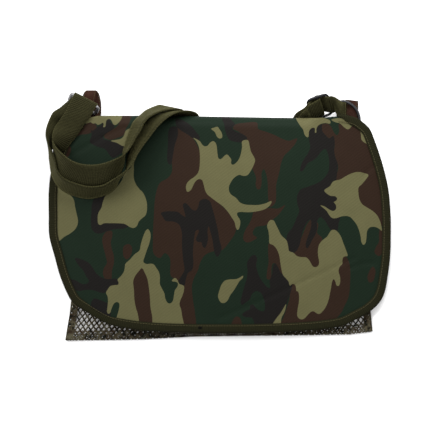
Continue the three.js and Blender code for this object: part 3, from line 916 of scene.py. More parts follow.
    def build(self, finishes: Sequence[bpy.types.Material]) -> bpy.types.Object:
        """Makes the printed flap.

        Args:
            finishes: one material for each ink.

        Returns:
            The flap.
        """
        shapes = [(ink, self.unrolled(shape)) for ink, shape in WoodlandPrint().shapes()]
        sheet = PrintedSheet("flap_cloth", self.pattern(), shapes, self.lay, self.cloth, self.mesh_step)
        made = sheet.build(finishes)
        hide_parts("flap")
        return made

    def dress(self, made: bpy.types.Object) -> None:
        flat, area = cut_size(self.pattern())


BROWN, BLACK, BEIGE = Ink.BROWN, Ink.BLACK, Ink.BEIGE
WOODLAND = (
    PrintRow(BROWN, (
        (121, 108), (134, 108), (132, 116), (129, 124), (126, 129), (124, 135), (118, 138), (110, 140),
        (104, 137), (108, 132), (114, 129), (119, 124))),
    PrintRow(BROWN, (
        (88, 123), (95, 124), (97, 127), (94, 131), (88, 134), (80, 135), (75, 138), (80, 131))),
    PrintRow(BROWN, (
        (64, 150), (70, 146), (71, 150), (68, 157), (64, 156))),
    PrintRow(BROWN, (
        (178, 126), (190, 135), (198, 147), (202, 160), (204, 180), (206, 192), (212, 198), (222, 206),
        (230, 215), (236, 226), (235, 233), (230, 241), (222, 250), (214, 251), (205, 255), (200, 263),
        (198, 270), (194, 278), (192, 286), (193, 300), (195, 313), (195, 328), (180, 328), (178, 304),
        (182, 290), (177, 280), (171, 276), (170, 258), (165, 253), (160, 258), (154, 254), (153, 240),
        (154, 215), (155, 200), (157, 190), (160, 183), (168, 178), (172, 172), (172, 160), (174, 146))),
    PrintRow(BROWN, (
        (235, 125), (245, 123), (257, 123), (258, 129), (266, 132), (275, 135.5), (282, 139),
        (289, 141), (297, 138.5), (295, 144), (289, 151), (284, 156), (281, 163), (279, 173),
        (276, 185), (276, 195), (275, 203), (270, 207), (268, 198), (267.5, 183), (266, 174),
        (263.5, 169), (261.5, 173), (261.5, 182), (260, 189), (257.5, 189.5), (255.5, 185), (256, 178),
        (252, 168), (246, 150), (240, 133), (233, 129))),
    PrintRow(BROWN, (
        (322, 124.5), (328, 124), (331, 127), (334, 133), (337, 135.5), (339, 131), (338.5, 124),
        (346, 122), (357, 124), (364, 136), (370, 145), (374, 156), (377, 168), (381, 185), (384, 205),
        (384, 226), (379, 224), (366, 210), (355, 200), (352, 185), (340, 182), (334, 181), (337, 173),
        (338, 166), (336, 160), (334, 152), (334.5, 145), (333.5, 138), (329, 138.5), (325, 135),
        (321, 130))),
    PrintRow(BROWN, (
        (345, 256), (349.5, 264), (350, 285), (348.5, 297), (344.5, 306), (341, 313), (333, 321),
        (312, 328), (280, 328), (284, 316), (289, 300), (293, 283), (310, 280), (330, 275), (336, 262))),
    PrintRow(BROWN, (
        (269, 243), (276, 245), (284, 254), (286, 275), (279, 272), (276, 264), (273, 263),
        (271.5, 268), (270.5, 279), (267, 279), (267, 271), (268.5, 262), (268, 252))),
    PrintRow(BROWN, (
        (285, 205), (282, 210), (277, 216), (272, 220), (266, 225), (256, 227), (253, 231),
        (253, 234.5), (257, 237.5), (254, 240), (247, 242.5), (243.5, 240), (243.5, 235), (246, 228.5),
        (249.5, 223), (252, 217), (254, 211), (268, 208), (278, 208.5))),
    PrintRow(BROWN, (
        (312, 219), (307, 224), (302, 236), (297, 247), (294, 254), (305, 262), (315, 269), (322, 262),
        (321, 246), (322, 238), (317, 233), (318, 224))),
    PrintRow(BROWN, (
        (112, 231), (112.5, 236), (111, 242), (112, 249), (114, 256), (114, 263), (112, 271),
        (111, 280), (106, 280), (103, 274), (104, 268), (107, 263), (106, 257), (104.5, 251),
        (103, 245), (102.5, 238), (106, 232))),
    PrintRow(BROWN, (
        (129, 244), (132, 247), (132, 252), (130, 257), (127, 259.5), (124, 257), (123, 251), (124, 246))),
    PrintRow(BROWN, (
        (142, 266), (150, 285), (153, 312), (155, 326), (136, 326), (133, 298), (132, 282))),
    PrintRow(BROWN, (
        (380, 229), (384, 233), (383, 250), (380, 256), (376.5, 255), (374.5, 252), (376, 247),
        (379, 242), (379, 235))),
    PrintRow(BROWN, (
        (373, 266.5), (375.5, 270), (375, 276), (373, 281.5), (369.5, 282.5), (367.5, 278), (369, 272))),
    PrintRow(BROWN, (
        (236, 316.5), (239, 317), (241, 320), (241, 328), (231, 328), (233, 320))),
    PrintRow(BLACK, (
        (93, 131), (97.4, 127.3), (101.7, 125.1), (103.1, 122), (105.7, 123), (107.4, 119.5),
        (110, 119.4), (111, 123), (114.6, 125.1), (113.9, 128.7), (107.4, 133), (103.1, 136.6),
        (104, 139), (112, 141.5), (118, 143.5), (127, 146.5), (122, 153), (113, 158), (109, 154),
        (105, 149), (98, 147), (90, 142), (92, 135), (91, 130))),
    PrintRow(BLACK, (
        (202, 199.5), (206, 199), (210, 201.5), (212, 207), (214, 214), (216, 222), (218, 231),
        (219.5, 240), (221.5, 248), (220, 253.5), (217.5, 257), (215, 254), (213.5, 247), (212.5, 240),
        (210.5, 232), (208.5, 226), (207.5, 232), (208, 238), (207, 244), (205, 248), (202.5, 246),
        (201.5, 242), (198, 242), (196, 239.5), (198, 234), (199, 230), (196, 230.5), (194.5, 236),
        (193.5, 245), (193, 255), (193.5, 263), (192, 270), (188, 273), (186, 279), (184, 286),
        (178, 283), (182, 275), (184.5, 270), (183.5, 262), (182.5, 253), (182, 243), (182, 233),
        (180, 226), (178, 223.5), (173, 221.5), (166, 221), (163, 217), (161, 213), (166, 211.5),
        (172, 211.3), (178, 212), (182, 215), (185.5, 217), (184, 210), (183, 204.5), (185.5, 203),
        (189, 206), (192, 209.5), (196, 210.5), (198.5, 206), (199.5, 201.5))),
    PrintRow(BLACK, (
        (220, 114), (227, 114), (232, 121), (235, 124.5), (232, 128.5), (236, 132), (242, 134),
        (247, 138), (246, 142), (230, 140.5), (227, 136), (225, 130), (224, 124))),
    PrintRow(BLACK, (
        (309, 131), (312, 126), (321, 123), (322, 131), (325, 135), (329, 138.5), (333, 136),
        (334.5, 141), (334, 150), (335, 157), (337.5, 164), (337, 172), (336, 184), (338, 200),
        (337, 212), (340, 217.5), (338.5, 223), (337, 231), (332, 231), (328, 226), (325, 221),
        (320, 217), (317, 221), (317, 228), (315.5, 234), (312, 240), (309, 246), (307, 248.5),
        (305.5, 246), (306.5, 240), (309, 233), (311, 226), (310.5, 219.5), (307, 222), (303, 230),
        (301, 238), (299, 246), (295, 252), (288, 253), (286, 240), (288, 233), (292, 228), (296, 219),
        (299, 211), (297, 203), (297, 196), (300, 190), (307, 187), (314, 184.5), (320, 181.5),
        (324, 178), (328, 172), (329, 164), (328, 155), (325, 149), (321, 151.5), (317, 157),
        (312, 161), (308, 163), (305.5, 166.5), (302.5, 171), (300, 171.5), (301, 165), (304, 159),
        (308, 153), (310, 147), (309, 141))),
    PrintRow(BLACK, (
        (252, 255.5), (255, 255), (257, 258.5), (256, 265), (257, 270), (259, 276), (262, 281),
        (267, 287), (270, 288), (269.5, 281), (272, 274), (273, 266), (275, 263), (278, 267),
        (281, 273), (286, 276), (292, 284), (290, 294), (287, 302), (284, 312), (277, 320), (273, 328),
        (257, 328), (252, 318), (245, 317), (242, 314.5), (246, 311), (250, 309), (250, 305.5),
        (253, 304.5), (256, 308), (261, 311), (264, 311), (265, 305), (263.5, 298), (261, 293),
        (256, 291), (252, 294), (250, 299), (245, 303), (242, 305), (240.5, 302), (241.5, 297),
        (243, 291), (245, 284), (247, 277), (247.5, 270), (247, 263), (249.5, 258))),
    PrintRow(BLACK, (
        (75, 258), (82, 259.5), (89, 263), (93, 268), (96, 273), (101, 277), (107, 279), (117, 279),
        (120, 286), (109, 290), (104, 293), (92, 290), (85, 290), (78, 291), (73, 288), (70, 283),
        (69.5, 279.5), (76, 280.5), (81, 283.5), (86, 284), (89, 281), (86, 276), (83, 270), (79, 266))),
    PrintRow(BLACK, (
        (94, 298.5), (100, 300), (105, 302), (110, 305), (109, 320), (101, 318), (92, 311), (91, 303))),
    PrintRow(BLACK, (
        (100, 188), (108, 197), (106, 215), (116, 221), (130, 225), (124, 228.5), (115, 229),
        (108, 231), (102, 233), (97, 233.5), (92.5, 230), (91, 222), (91.5, 213), (92, 205), (95, 197))),
    PrintRow(BLACK, (
        (170, 128), (177, 127), (178, 135), (175, 145), (173, 156), (171, 165), (168, 163), (168, 145))),
    PrintRow(BLACK, (
        (176, 119), (184, 121), (191, 126), (196, 132), (200, 138), (198, 141), (188, 135), (177, 127))),
    PrintRow(BEIGE, (
        (82, 122), (92, 113), (112, 108), (122, 110), (121.8, 118.5), (118.2, 123.5), (115.4, 125.3),
        (113.5, 124.5), (111.6, 120.5), (109.8, 119.2), (107.2, 119.9), (106, 123.5), (105.8, 126),
        (104.4, 127.6), (103.2, 127), (104, 124.5), (102.8, 122.7), (101.4, 123.8), (99.6, 124.6),
        (97.8, 125.2), (96, 123.4), (93, 123.8), (91, 122.3), (86, 123.8))),
    PrintRow(BEIGE, (
        (296, 117), (300, 126), (303, 130), (304, 134), (306, 137), (308, 137.5), (309, 131),
        (312, 128), (314.5, 128.3), (314.8, 133), (316, 133), (316.3, 128.5), (319, 125), (325, 123.2),
        (330, 123.8), (330, 121), (318, 117))),
    PrintRow(BEIGE, (
        (331, 120), (345, 118), (357, 123), (363, 130), (367, 138), (370, 145), (365, 143),
        (361.5, 140), (360.5, 133), (357, 127), (353, 125.3), (350.5, 127.5), (348, 129.6),
        (344, 127.5), (340, 123.8), (335, 122.3))),
    PrintRow(BEIGE, (
        (211, 129), (214, 128), (217.5, 127), (219.5, 129.5), (222, 134), (222, 138), (219.5, 138.8),
        (217, 137), (215, 132.5))),
    PrintRow(BEIGE, (
        (193, 138), (196, 141), (199, 147.5), (200, 160), (198.5, 172), (195, 176.5), (190, 180),
        (187, 183.5), (186, 188), (187.5, 192), (191, 190), (193.5, 185), (196, 181), (199, 179.2),
        (202, 180), (203.5, 184), (205, 190), (207, 194), (211, 197.5), (217, 202), (223, 206.5),
        (228, 212), (232, 218), (234.5, 222), (236, 228), (237.5, 230), (239, 228.5), (240.3, 222),
        (239.5, 219), (237.5, 216), (237, 213), (240, 212), (248, 212.3), (256, 211.5), (264, 209.5),
        (268, 207), (271, 203.5), (271.5, 201), (265, 203.5), (258, 205), (252, 205), (245, 204.5),
        (240, 202.5), (236, 198), (231, 194.5), (229, 191), (229, 186.5), (231, 182), (234, 178),
        (239, 175), (243, 176), (247, 175.5), (250, 172), (253, 166.5), (255, 160.5), (253.5, 156.5),
        (251, 152), (249.5, 146), (248, 140.5), (245, 140.2), (242, 141.5), (242, 147), (241.2, 152),
        (239.5, 158), (236, 163), (232.5, 165), (231, 163.5), (231.3, 160), (229.5, 157), (227, 154.6),
        (225, 155.5), (222.5, 158), (220, 159.5), (218.5, 158.5), (217.5, 154), (216.5, 145.5),
        (215, 142.3), (213, 141.3), (210, 143), (207.5, 146), (204.5, 146.5), (202, 144.5), (200, 141.5))),
    PrintRow(BEIGE, (
        (134, 158), (131, 168), (126, 172), (123.5, 177), (121, 182), (116, 188), (110, 191.5),
        (105.5, 196), (103, 202), (101.5, 208), (98.5, 213), (97.8, 219), (98.5, 224), (100.5, 225),
        (104, 223.3), (110, 223.2), (118, 223.3), (125, 224), (130, 227), (134, 228), (137, 226),
        (139, 221.5), (142, 218.5), (145.5, 215.5), (147, 211), (147, 203), (145.5, 197.5),
        (143, 192.5), (139.5, 189), (136, 184), (134, 178), (134, 170))),
    PrintRow(BEIGE, (
        (52, 185), (60, 188), (66, 191), (70.5, 195), (74, 200), (75, 206), (76.5, 213), (78, 220),
        (77.5, 225), (75, 229.5), (70, 233.5), (64, 237), (58.5, 241.5), (50, 245))),
    PrintRow(BEIGE, (
        (111, 141), (121, 139), (124, 136), (126, 131), (130, 128.5), (134, 126), (129, 138),
        (125, 146.5), (117, 143))),
    PrintRow(BEIGE, (
        (148, 229), (150, 231.5), (150.8, 236), (149.5, 243), (147, 250), (145, 256), (143.5, 262),
        (147, 264), (151, 263.5), (154, 264.5), (156.5, 268), (159, 272), (160, 277), (160, 284),
        (162, 288.5), (164.5, 293.5), (165.5, 299), (168, 303), (170.5, 303.3), (173, 300.5),
        (174, 295), (175, 290), (177.5, 286.5), (177.8, 283), (176, 281.8), (171.8, 281), (173, 279),
        (175, 277.7), (177.5, 280), (179.5, 284), (182, 284.7), (184, 286), (184, 290), (182.5, 295.5),
        (180.5, 300), (179.5, 304.5), (181, 309), (182, 315), (183, 330), (155, 330), (152, 315),
        (150.5, 307), (150, 298), (149, 288), (147.5, 279), (145, 273), (142, 268), (139, 271),
        (135.5, 275.5), (133.3, 281), (134, 290), (134.5, 300), (136, 308), (138, 315), (138, 328),
        (116, 326), (118.5, 311), (119.5, 306), (119, 303), (117, 302), (114.5, 303), (112, 307.5),
        (110, 313), (108.5, 314), (107, 312), (107.5, 307), (108, 300), (107.5, 296), (106, 293),
        (108, 289), (110.5, 286), (115, 285), (118, 284.8), (118.7, 282.5), (117.5, 279.7), (121, 276),
        (124, 271.5), (125, 266.5), (125.3, 264), (130, 259.5), (135, 254), (139.5, 250.5), (141, 244),
        (143.5, 236), (146, 230.5))),
    PrintRow(BEIGE, (
        (243, 275.5), (243, 277.5), (239.5, 281), (236.5, 286), (233, 291.5), (230, 295.5),
        (227.5, 300.5), (224, 303), (221, 302.5), (218.7, 299), (218, 296), (219.5, 290),
        (221.5, 284.5), (225, 280.5), (230, 279.3), (236, 279), (240, 277.3))),
    PrintRow(BEIGE, (
        (270.5, 220), (273.5, 220.5), (276, 225), (278.5, 230), (281, 235), (284, 238), (286.5, 240.5),
        (288, 246), (289, 251), (293, 252.5), (297, 256), (301, 257), (306, 257.3), (309, 260),
        (311, 263.5), (313, 266.5), (316, 267), (318.5, 265), (319, 261.5), (318, 256), (317.8, 250),
        (319, 244.5), (322, 240.5), (327, 236.5), (329.5, 232.5), (331.5, 230), (335, 230),
        (338.5, 233), (341, 237), (343, 242.5), (345.5, 249), (347.5, 256), (345, 256.3), (343, 257.5),
        (342.3, 261), (342.5, 263.5), (339.5, 267), (338.5, 271), (340, 277), (340, 283), (338.5, 286),
        (336.5, 285.5), (335.3, 281.5), (333.5, 279), (332, 282), (331, 288), (330, 293), (328.5, 300),
        (326, 306.5), (322.5, 311.5), (319.5, 314), (317, 313.5), (314, 311.5), (312, 311.3),
        (309, 313.5), (305, 318), (302, 319.5), (299, 318.5), (297.3, 316), (297.5, 310), (298.8, 302),
        (299, 296), (298, 291.5), (296.3, 291), (295.8, 286.5), (294, 284), (291.5, 284.3),
        (289.8, 286), (288.5, 281.5), (286, 278.5), (283, 275), (281.3, 269), (280, 261), (279, 255),
        (276.5, 249), (273, 245), (269.5, 243.5), (269, 237), (268.3, 231), (267, 226), (268, 222.5))),
    PrintRow(BEIGE, (
        (324, 190.5), (330, 186), (332, 182.5), (334, 181), (340, 179.5), (346, 176), (352, 173.2),
        (358, 172), (363, 172.8), (368.5, 175), (366.5, 178.5), (362, 184), (358.5, 187.5),
        (358.3, 193), (359.5, 199.5), (362, 204), (367, 207.5), (372, 210.5), (376.5, 214.5),
        (379.5, 219.5), (381.5, 226), (382, 231), (379.5, 229), (376, 227.2), (372, 226.8), (369, 228),
        (367, 231.5), (366.5, 237), (365.5, 243), (363.5, 245), (361.5, 242.5), (360.5, 236),
        (358.5, 229), (356.5, 224.5), (353, 220), (350, 217), (346, 216), (341, 216.5), (336, 218.2),
        (332, 218), (329, 215), (326.5, 211), (323.5, 208.3), (320, 205.3), (324.5, 206.5),
        (329, 209.5), (333, 211), (335.5, 209.5), (336, 206), (334.3, 203), (333.5, 202),
        (336.3, 200.5), (337, 198.5), (335, 196.3), (331, 196), (328.5, 195))),
    PrintRow(BEIGE, (
        (286, 304), (285.8, 307), (284.5, 312), (281.5, 318), (279.5, 328), (271, 328), (277, 317.5),
        (280.5, 313), (283.5, 308))),
    PrintRow(BEIGE, (
        (282.9, 274.5), (283.5, 273.9), (284.1, 274.5), (283.5, 275.1))),
)


class PanelRow(NamedTuple):
    """Side edges and underside of the back panel at one height."""

    y: float
    left: float
    right: float
    z: float


PANEL_SECTION = (
    PanelRow(104, -160, 166, 5), PanelRow(90, -168, 172, 5), PanelRow(60, -178, 180, 5),
    PanelRow(34, -184, 186, 5), PanelRow(20, -186, 188, 2.5), PanelRow(6, -187, 190, 0),
    PanelRow(-60, -178, 188, 0), PanelRow(-90, -163, 180, 0), PanelRow(-112, -140, 162, 0),
    PanelRow(-124, -110, 130, 0), PanelRow(-129, -60, 70, 0),
)


@dataclass
class BackPanel:
    """Printed cloth that lies on the floor, raised at its top over the strap."""

    cloth: float = 1.5
    outline_step: float = 4.0
    print_step: float = 2.5
    mesh_step: float = 9.0

    def lay(self, x: Array, y: Array) -> Array:
        """Place of a point of the pattern on the underside."""
        rows = np.array(PANEL_SECTION)[::-1]
        return np.stack([x, y, np.interp(y, rows[:, 0], rows[:, 3])], -1)

    def build(self, finishes: Sequence[bpy.types.Material]) -> bpy.types.Object:
        """Makes the panel, with the print turned over.

        Args:
            finishes: one material for each ink.

        Returns:
            The panel.
        """
        rows = np.array(PANEL_SECTION)
        outline = evenly(np.vstack([rows[:, [1, 0]], rows[::-1, [2, 0]]]), self.outline_step, closed=True)
        shapes = [(ink, -shape) for ink, shape in WoodlandPrint(step=self.print_step).shapes()]
        sheet = PrintedSheet("back_cloth", outline, shapes, self.lay, -self.cloth, self.mesh_step)
        made = sheet.build(finishes)
        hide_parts("back_panel")
        return made


@dataclass
class FlapBinding:
    """Tape folded round the flap's edge and sewn through."""

    flap: Flap
    width: float = 9.0
    wall: float = 1.0
    gap: float = 0.5
    station: float = 2.4
    stitch_inset: float = 7.0
    stitch_step: float = 3.4
    thread: float = 0.34
    free_left: int = 22
    taper: float = 17.0
    tack_place: tuple[float, float] = (-21.3, -136.0)
    roll_place: tuple[float, float] = (-143.0, -119.0)
    roll_reach: float = 17.0
    roll_share: float = 0.36
    right_end: tuple[float, float] = (139.5, 116.3)
    edge_step: float = 1.0
    least_width: float = 0.2
    tack_step: float = 0.6
    tack_half: int = 3
    tack_reach: tuple[float, float] = (0.35, 0.75)
    stitch_share: float = 0.82

    def top(self) -> float:
        """Height of the tape's upper face above the middle of the cloth."""
        return self.flap.cloth / 2 + self.gap + self.wall

    def path(self, step: float) -> Array:
        """The bound edge, from under the strap at the left to the right ear's top."""
        edge = self.flap.edge(self.edge_step)
        return evenly(np.vstack([edge[self.free_left:], self.right_end]), step)

    def at(self, line: Array, inset: Array, lift: Array) -> Array:
        """Points beside the flap's edge.

        Args:
            line: stations along the edge in the flat pattern.
            inset: distances in from the edge.
            lift: heights above the middle of the cloth, one for each inset.

        Returns:
            Points by station and inset.
        """
        travel = unit(np.gradient(line, axis=0))
        inward = np.stack([-travel[:, 1], travel[:, 0]], -1)
        flat = line[:, None] + inward[:, None] * inset[..., None]
        x, y = flat[..., 0].ravel(), flat[..., 1].ravel()
        up = laid_normals(self.flap.lay, x, y)
        rise = np.tile(lift, len(line))[:, None] - self.flap.cloth / 2
        return (self.flap.lay(x, y) + up * rise).reshape(len(line), len(lift), 3)

    def build(self, finish: bpy.types.Material) -> bpy.types.Object:
        """Makes the tape.

        Args:
            finish: the tape's material.

        Returns:
            The tape, as a closed C section swept along the edge.
        """
        near = self.flap.cloth / 2 + self.gap
        far = self.top()
        lip = self.gap + self.wall
        wide = self.width
        inset = np.array([wide, wide, 0.75 * wide, wide / 2, 0.12 * wide, -0.6 * lip, -lip, -0.6 * lip,
                          0.12 * wide, wide / 2, wide, wide, wide / 2, -self.gap, -self.gap, wide / 2])
        lift = np.array([near, 0.9 * far, far, far, far, 0.75 * far, 0, -0.75 * far,
                         -far, -far, -far, -near, -near, -near, near, near])
        line = self.path(self.station)
        left = np.linalg.norm(line - line[-1], axis=1)[:, None]
        rolled = 1 - self.rolled(line)[:, None]
        narrow = np.minimum(np.clip(left / self.taper, self.least_width, 1), rolled)
        inner = np.where(inset > 0, narrow, 1) * inset
        rings = self.at(line, inner, lift)
        sides = rings.shape[1]
        reach = np.r_[0, np.cumsum(np.linalg.norm(np.diff(line, axis=0), axis=1))]
        strip = np.stack([np.repeat(reach, sides), np.tile(inset, len(line))], -1)
        made = as_object("flap_tape", swept(rings), [finish], strip=strip)
        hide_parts("flap_binding")
        flat = (2 * (self.width + lip) * MM, float(reach[-1]) * MM)
        return made

    def rolled(self, line: Array) -> Array:
        """Share of its width that the tape loses where it rolls under at the lower left corner."""
        away = np.linalg.norm(line - self.roll_place, axis=1)
        return self.roll_share * np.exp(-((away / self.roll_reach) ** 2))

    def seam(self, line: Array, inset: Sequence[float]) -> tuple[Array, Array]:
        """Points on the tape's upper face, and the normals there, by station and inset."""
        lift = np.full(len(inset), self.top())
        seams = self.at(line, np.array(inset), lift)
        return seams, unit(self.at(line, np.array(inset), lift + 1) - seams)

    def tack(self, thread: bpy.types.Material) -> bpy.types.Object:
        """Adds the dark bar tack across the tape at the lower edge."""
        edge = self.path(self.tack_step)
        nearest = int(np.argmin(np.linalg.norm(edge - self.tack_place, axis=1)))
        line = edge[nearest - self.tack_half:nearest + self.tack_half + 1]
        seams, up = self.seam(line, [share * self.width for share in self.tack_reach])
        skins = [stitches(pair, normal, 1.0, self.thread) for pair, normal in zip(seams, up)]
        return as_object("flap_tack", joined(skins), [thread])

    def dress(self, thread: bpy.types.Material) -> bpy.types.Object:
        """Sews the tape with a row of stitches near its inner edge."""
        seams, up = self.seam(self.path(self.stitch_step), [self.stitch_inset])
        skin = stitches(seams[:, 0], up[:, 0], self.stitch_share, self.thread)
        return as_object("flap_stitches", skin, [thread])


class NetRow(NamedTuple):
    """Section of the net pouch: place from mouth to hem, sides, middle height and half-depth."""

    along: float
    left: float
    right: float
    mid: float
    half: float


NET_SECTION = (
    NetRow(0, -160, 164, 13.2, 5.6), NetRow(0.12, -163, 167, 13, 5.6), NetRow(0.3, -165, 171, 11.5, 6),
    NetRow(0.5, -168, 174, 8.6, 6.2), NetRow(0.7, -170, 176, 6, 3.8), NetRow(0.86, -174, 178, 3.6, 1.7),
    NetRow(0.95, -177.5, 180, 2.8, 1.1), NetRow(1, -179.2, 181, 2.4, 0.9),
)
NET_HEM = (
    (-185, -146.8), (-131, -146), (-86, -145), (-26, -142), (110, -140.3), (154, -139.4),
    (185, -135.6),
)


class Layer(Enum):
    """The two sides of the net pouch."""

    FRONT = 1
    BACK = -1


@dataclass(frozen=True)
class EdgeWork:
    """Cords of closer work along one edge of the net, placed in shares of the net's size."""

    cords: int
    outer: float
    spacing: float
    sway: float
    waves: float
    samples: int
    wide: float
    thick: float
    phase: float = 2.1

    def place(self, k: int, side: int = 1) -> float:
        """Place of one cord on its side of the net."""
        return side * (self.outer - k * self.spacing)

    def swaying(self, along: Array, k: int) -> Array:
        """How far one cord sways at places along it."""
        return self.sway * np.sin(along * self.waves + k * self.phase)

    def cord(self, line: Array, up: Array) -> Skin:
        """One cord along a line."""
        return tubes(line[None], np.broadcast_to(up, (1, *line.shape)), self.wide, self.thick)


SIDE_WORK = EdgeWork(5, 0.992, 0.0092, 0.003, 190.0, 160, 0.95, 0.5)
HEM_WORK = EdgeWork(4, 0.996, 0.0135, 0.004, 310.0, 420, 0.8, 0.5)
MOUTH_WORK = EdgeWork(1, 0.004, 0.0, 0.0, 310.0, 420, 1.1, 0.7)


@dataclass
class NetPouch:
    """Knotted net sack: zigzag strands that meet at knots, with closer work along sides and hem."""

    mouth: float = 74.0
    pitch: float = 6.0
    row: float = 3.9
    strand: float = 0.82
    depth: float = 0.45
    across: float = 345.0
    drop: float = 217.0
    swing: float = 0.92
    side_fullness: float = 0.8
    deep_fullness: float = 0.6
    skin: float = 0.2
    reach: float = 0.996
    lowest: float = 0.999
    back_drift: float = -0.105

    def lay(self, across: Array, along: Array, layer: Layer) -> Array:
        """Place on the sack.

        Args:
            across: -1 at the left side to 1 at the right.
            along: 0 at the mouth to 1 at the hem.
            layer: front or back of the sack.

        Returns:
            Points in millimetres.
        """
        rows = np.array(NET_SECTION)
        left, right, mid, half = (np.interp(along, rows[:, 0], rows[:, k]) for k in (1, 2, 3, 4))
        x = (left + right) / 2 + (right - left) / 2 * across
        fullness = np.maximum(1 - np.abs(across) ** (2 / self.side_fullness), 0)
        round_ = np.sqrt(fullness) ** self.deep_fullness
        hem = np.interp(x, *np.array(NET_HEM).T)
        y = self.mouth + (hem - self.mouth) * along
        deep = np.maximum(half - (self.depth + self.skin), self.skin)
        return np.stack([x, y, mid + layer.value * deep * round_], -1)

    def strands(self, layer: Layer, drift: float) -> Array:
        """Lines of the zigzag strands.

        Args:
            layer: front or back of the sack.
            drift: how much wider its pitch is, in millimetres.

        Returns:
            Points by strand and place.
        """
        knots = round(self.drop / self.row)
        along = np.linspace(0, 1, 2 * knots + 1)
        swing = np.abs((np.arange(2 * knots + 1) / 2) % 2 - 1)
        lines = []
        for index in range(round(self.across / self.pitch) + 1):
            for side in (1, -1):
                offset = index * (self.pitch + drift) + side * (0.5 - 0.5 * swing) * self.pitch * self.swing
                across = np.clip((offset / self.across) * 2 - 1, -self.reach, self.reach)
                lines.append(self.lay(across, along, layer))
        return np.array(lines)

    def build(self, finish: bpy.types.Material) -> list[bpy.types.Object]:
        """Makes the front and the back of the sack.

        Args:
            finish: the cord's material.

        Returns:
            The two sides of the net.
        """
        made = []
        sides = ((Layer.FRONT, "net_front", 0.0), (Layer.BACK, "net_back", self.back_drift))
        for layer, name, drift in sides:
            lines = self.strands(layer, drift)
            up = np.zeros_like(lines) + (0, 0, float(layer.value))
            piece = as_object(name, tubes(lines, up, self.strand, self.depth), [finish])
            made.append(piece)
        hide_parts("net_pouch")
        return made

    def dress(self, finish: bpy.types.Material) -> bpy.types.Object:
        """Adds the closer work at the sides, hem and mouth.

        Args:
            finish: the cord's material.

        Returns:
            The edge cords.
        """
        skins = []
        down = np.linspace(0, 1, SIDE_WORK.samples)
        for layer in Layer:
            up = np.array([0, 0, float(layer.value)])
            for side in (-1, 1):
                for k in range(SIDE_WORK.cords):
                    across = SIDE_WORK.place(k, side) + SIDE_WORK.swaying(down, k)
                    skins.append(SIDE_WORK.cord(self.lay(across, down, layer), up))
            for work in (HEM_WORK, MOUTH_WORK):
                over = np.linspace(-self.reach, self.reach, work.samples)
                for k in range(work.cords):
                    along = np.clip(work.place(k) + work.swaying(over, k), 0, self.lowest)
                    skins.append(work.cord(self.lay(over, along, layer), up))
        return as_object("net_edges", joined(skins), [finish])


class Row(NamedTuple):
    """The two edges of one section of a strap or tab."""

    left: tuple[float, float, float]
    right: tuple[float, float, float]


def rows_of(table: Sequence[tuple[float, ...]]) -> list[Row]:
    """Rows of a table of six numbers: the left edge's place, then the right edge's."""
    return [Row(tuple(row[:3]), tuple(row[3:])) for row in table]


# Half of a strip's section: places across it in half-widths, and heights in half-thicknesses.
STRIP_FACE = (-1, -0.97, -0.6, -0.2, 0.2, 0.6, 0.97, 1)
STRIP_LIFT = (0.3, 1, 1, 1, 1, 1, 1, 0.3)


@dataclass
class Strip:
    """A flat strip of webbing or leather swept through rows."""

    width: float
    wall: float
    steps: int
    ragged: float = 0.0
    fold: float = 0.0
    pinch: float = 0.0
    pinch_reach: float = 0.05

    def frames(self, rows: Sequence[Row]) -> tuple[Array, Array, Array]:
        """Middle line, half-width vectors and normals along the strip."""
        left = curve_through(np.array([row.left for row in rows]), self.steps)
        right = curve_through(np.array([row.right for row in rows]), self.steps)
        middle = (left + right) / 2
        share = np.linspace(0, 1, len(middle))[:, None]
        half = self.width / 2 * (1 - self.pinch * np.exp(-(((share - self.fold) / self.pinch_reach) ** 2)))
        arm = unit(right - left) * half
        return middle, arm, unit(np.cross(np.gradient(middle, axis=0), arm))

    def skin(self, rows: Sequence[Row]) -> tuple[Skin, Array, float]:
        """Skin of the strip.

        Args:
            rows: its sections.

        Returns:
            The skin, the strip coordinates of its points, and its length.
        """
        middle, arm, up = self.frames(rows)
        across = np.r_[STRIP_FACE, STRIP_FACE[::-1]]
        lift = np.r_[-np.array(STRIP_LIFT), STRIP_LIFT] * self.wall / 2
        reach = np.r_[0, np.cumsum(np.linalg.norm(np.diff(middle, axis=0), axis=1))]
        edge = np.abs(across) == 1
        tooth = 1 - self.ragged * (np.arange(len(middle)) % 2)[:, None] * edge
        rings = (middle[:, None] + arm[:, None] * (across * tooth)[..., None]
                 + up[:, None] * lift[:, None])
        strip = np.stack([np.repeat(reach, len(across)), np.tile(across * self.width / 2, len(middle))], -1)
        return swept(rings), strip, float(reach[-1])


class FloorRun(NamedTuple):
    """The strap's way round under the bag: its ends, its line, its depth and its height."""

    start: float
    end: float
    y: float
    depth: float
    z: float


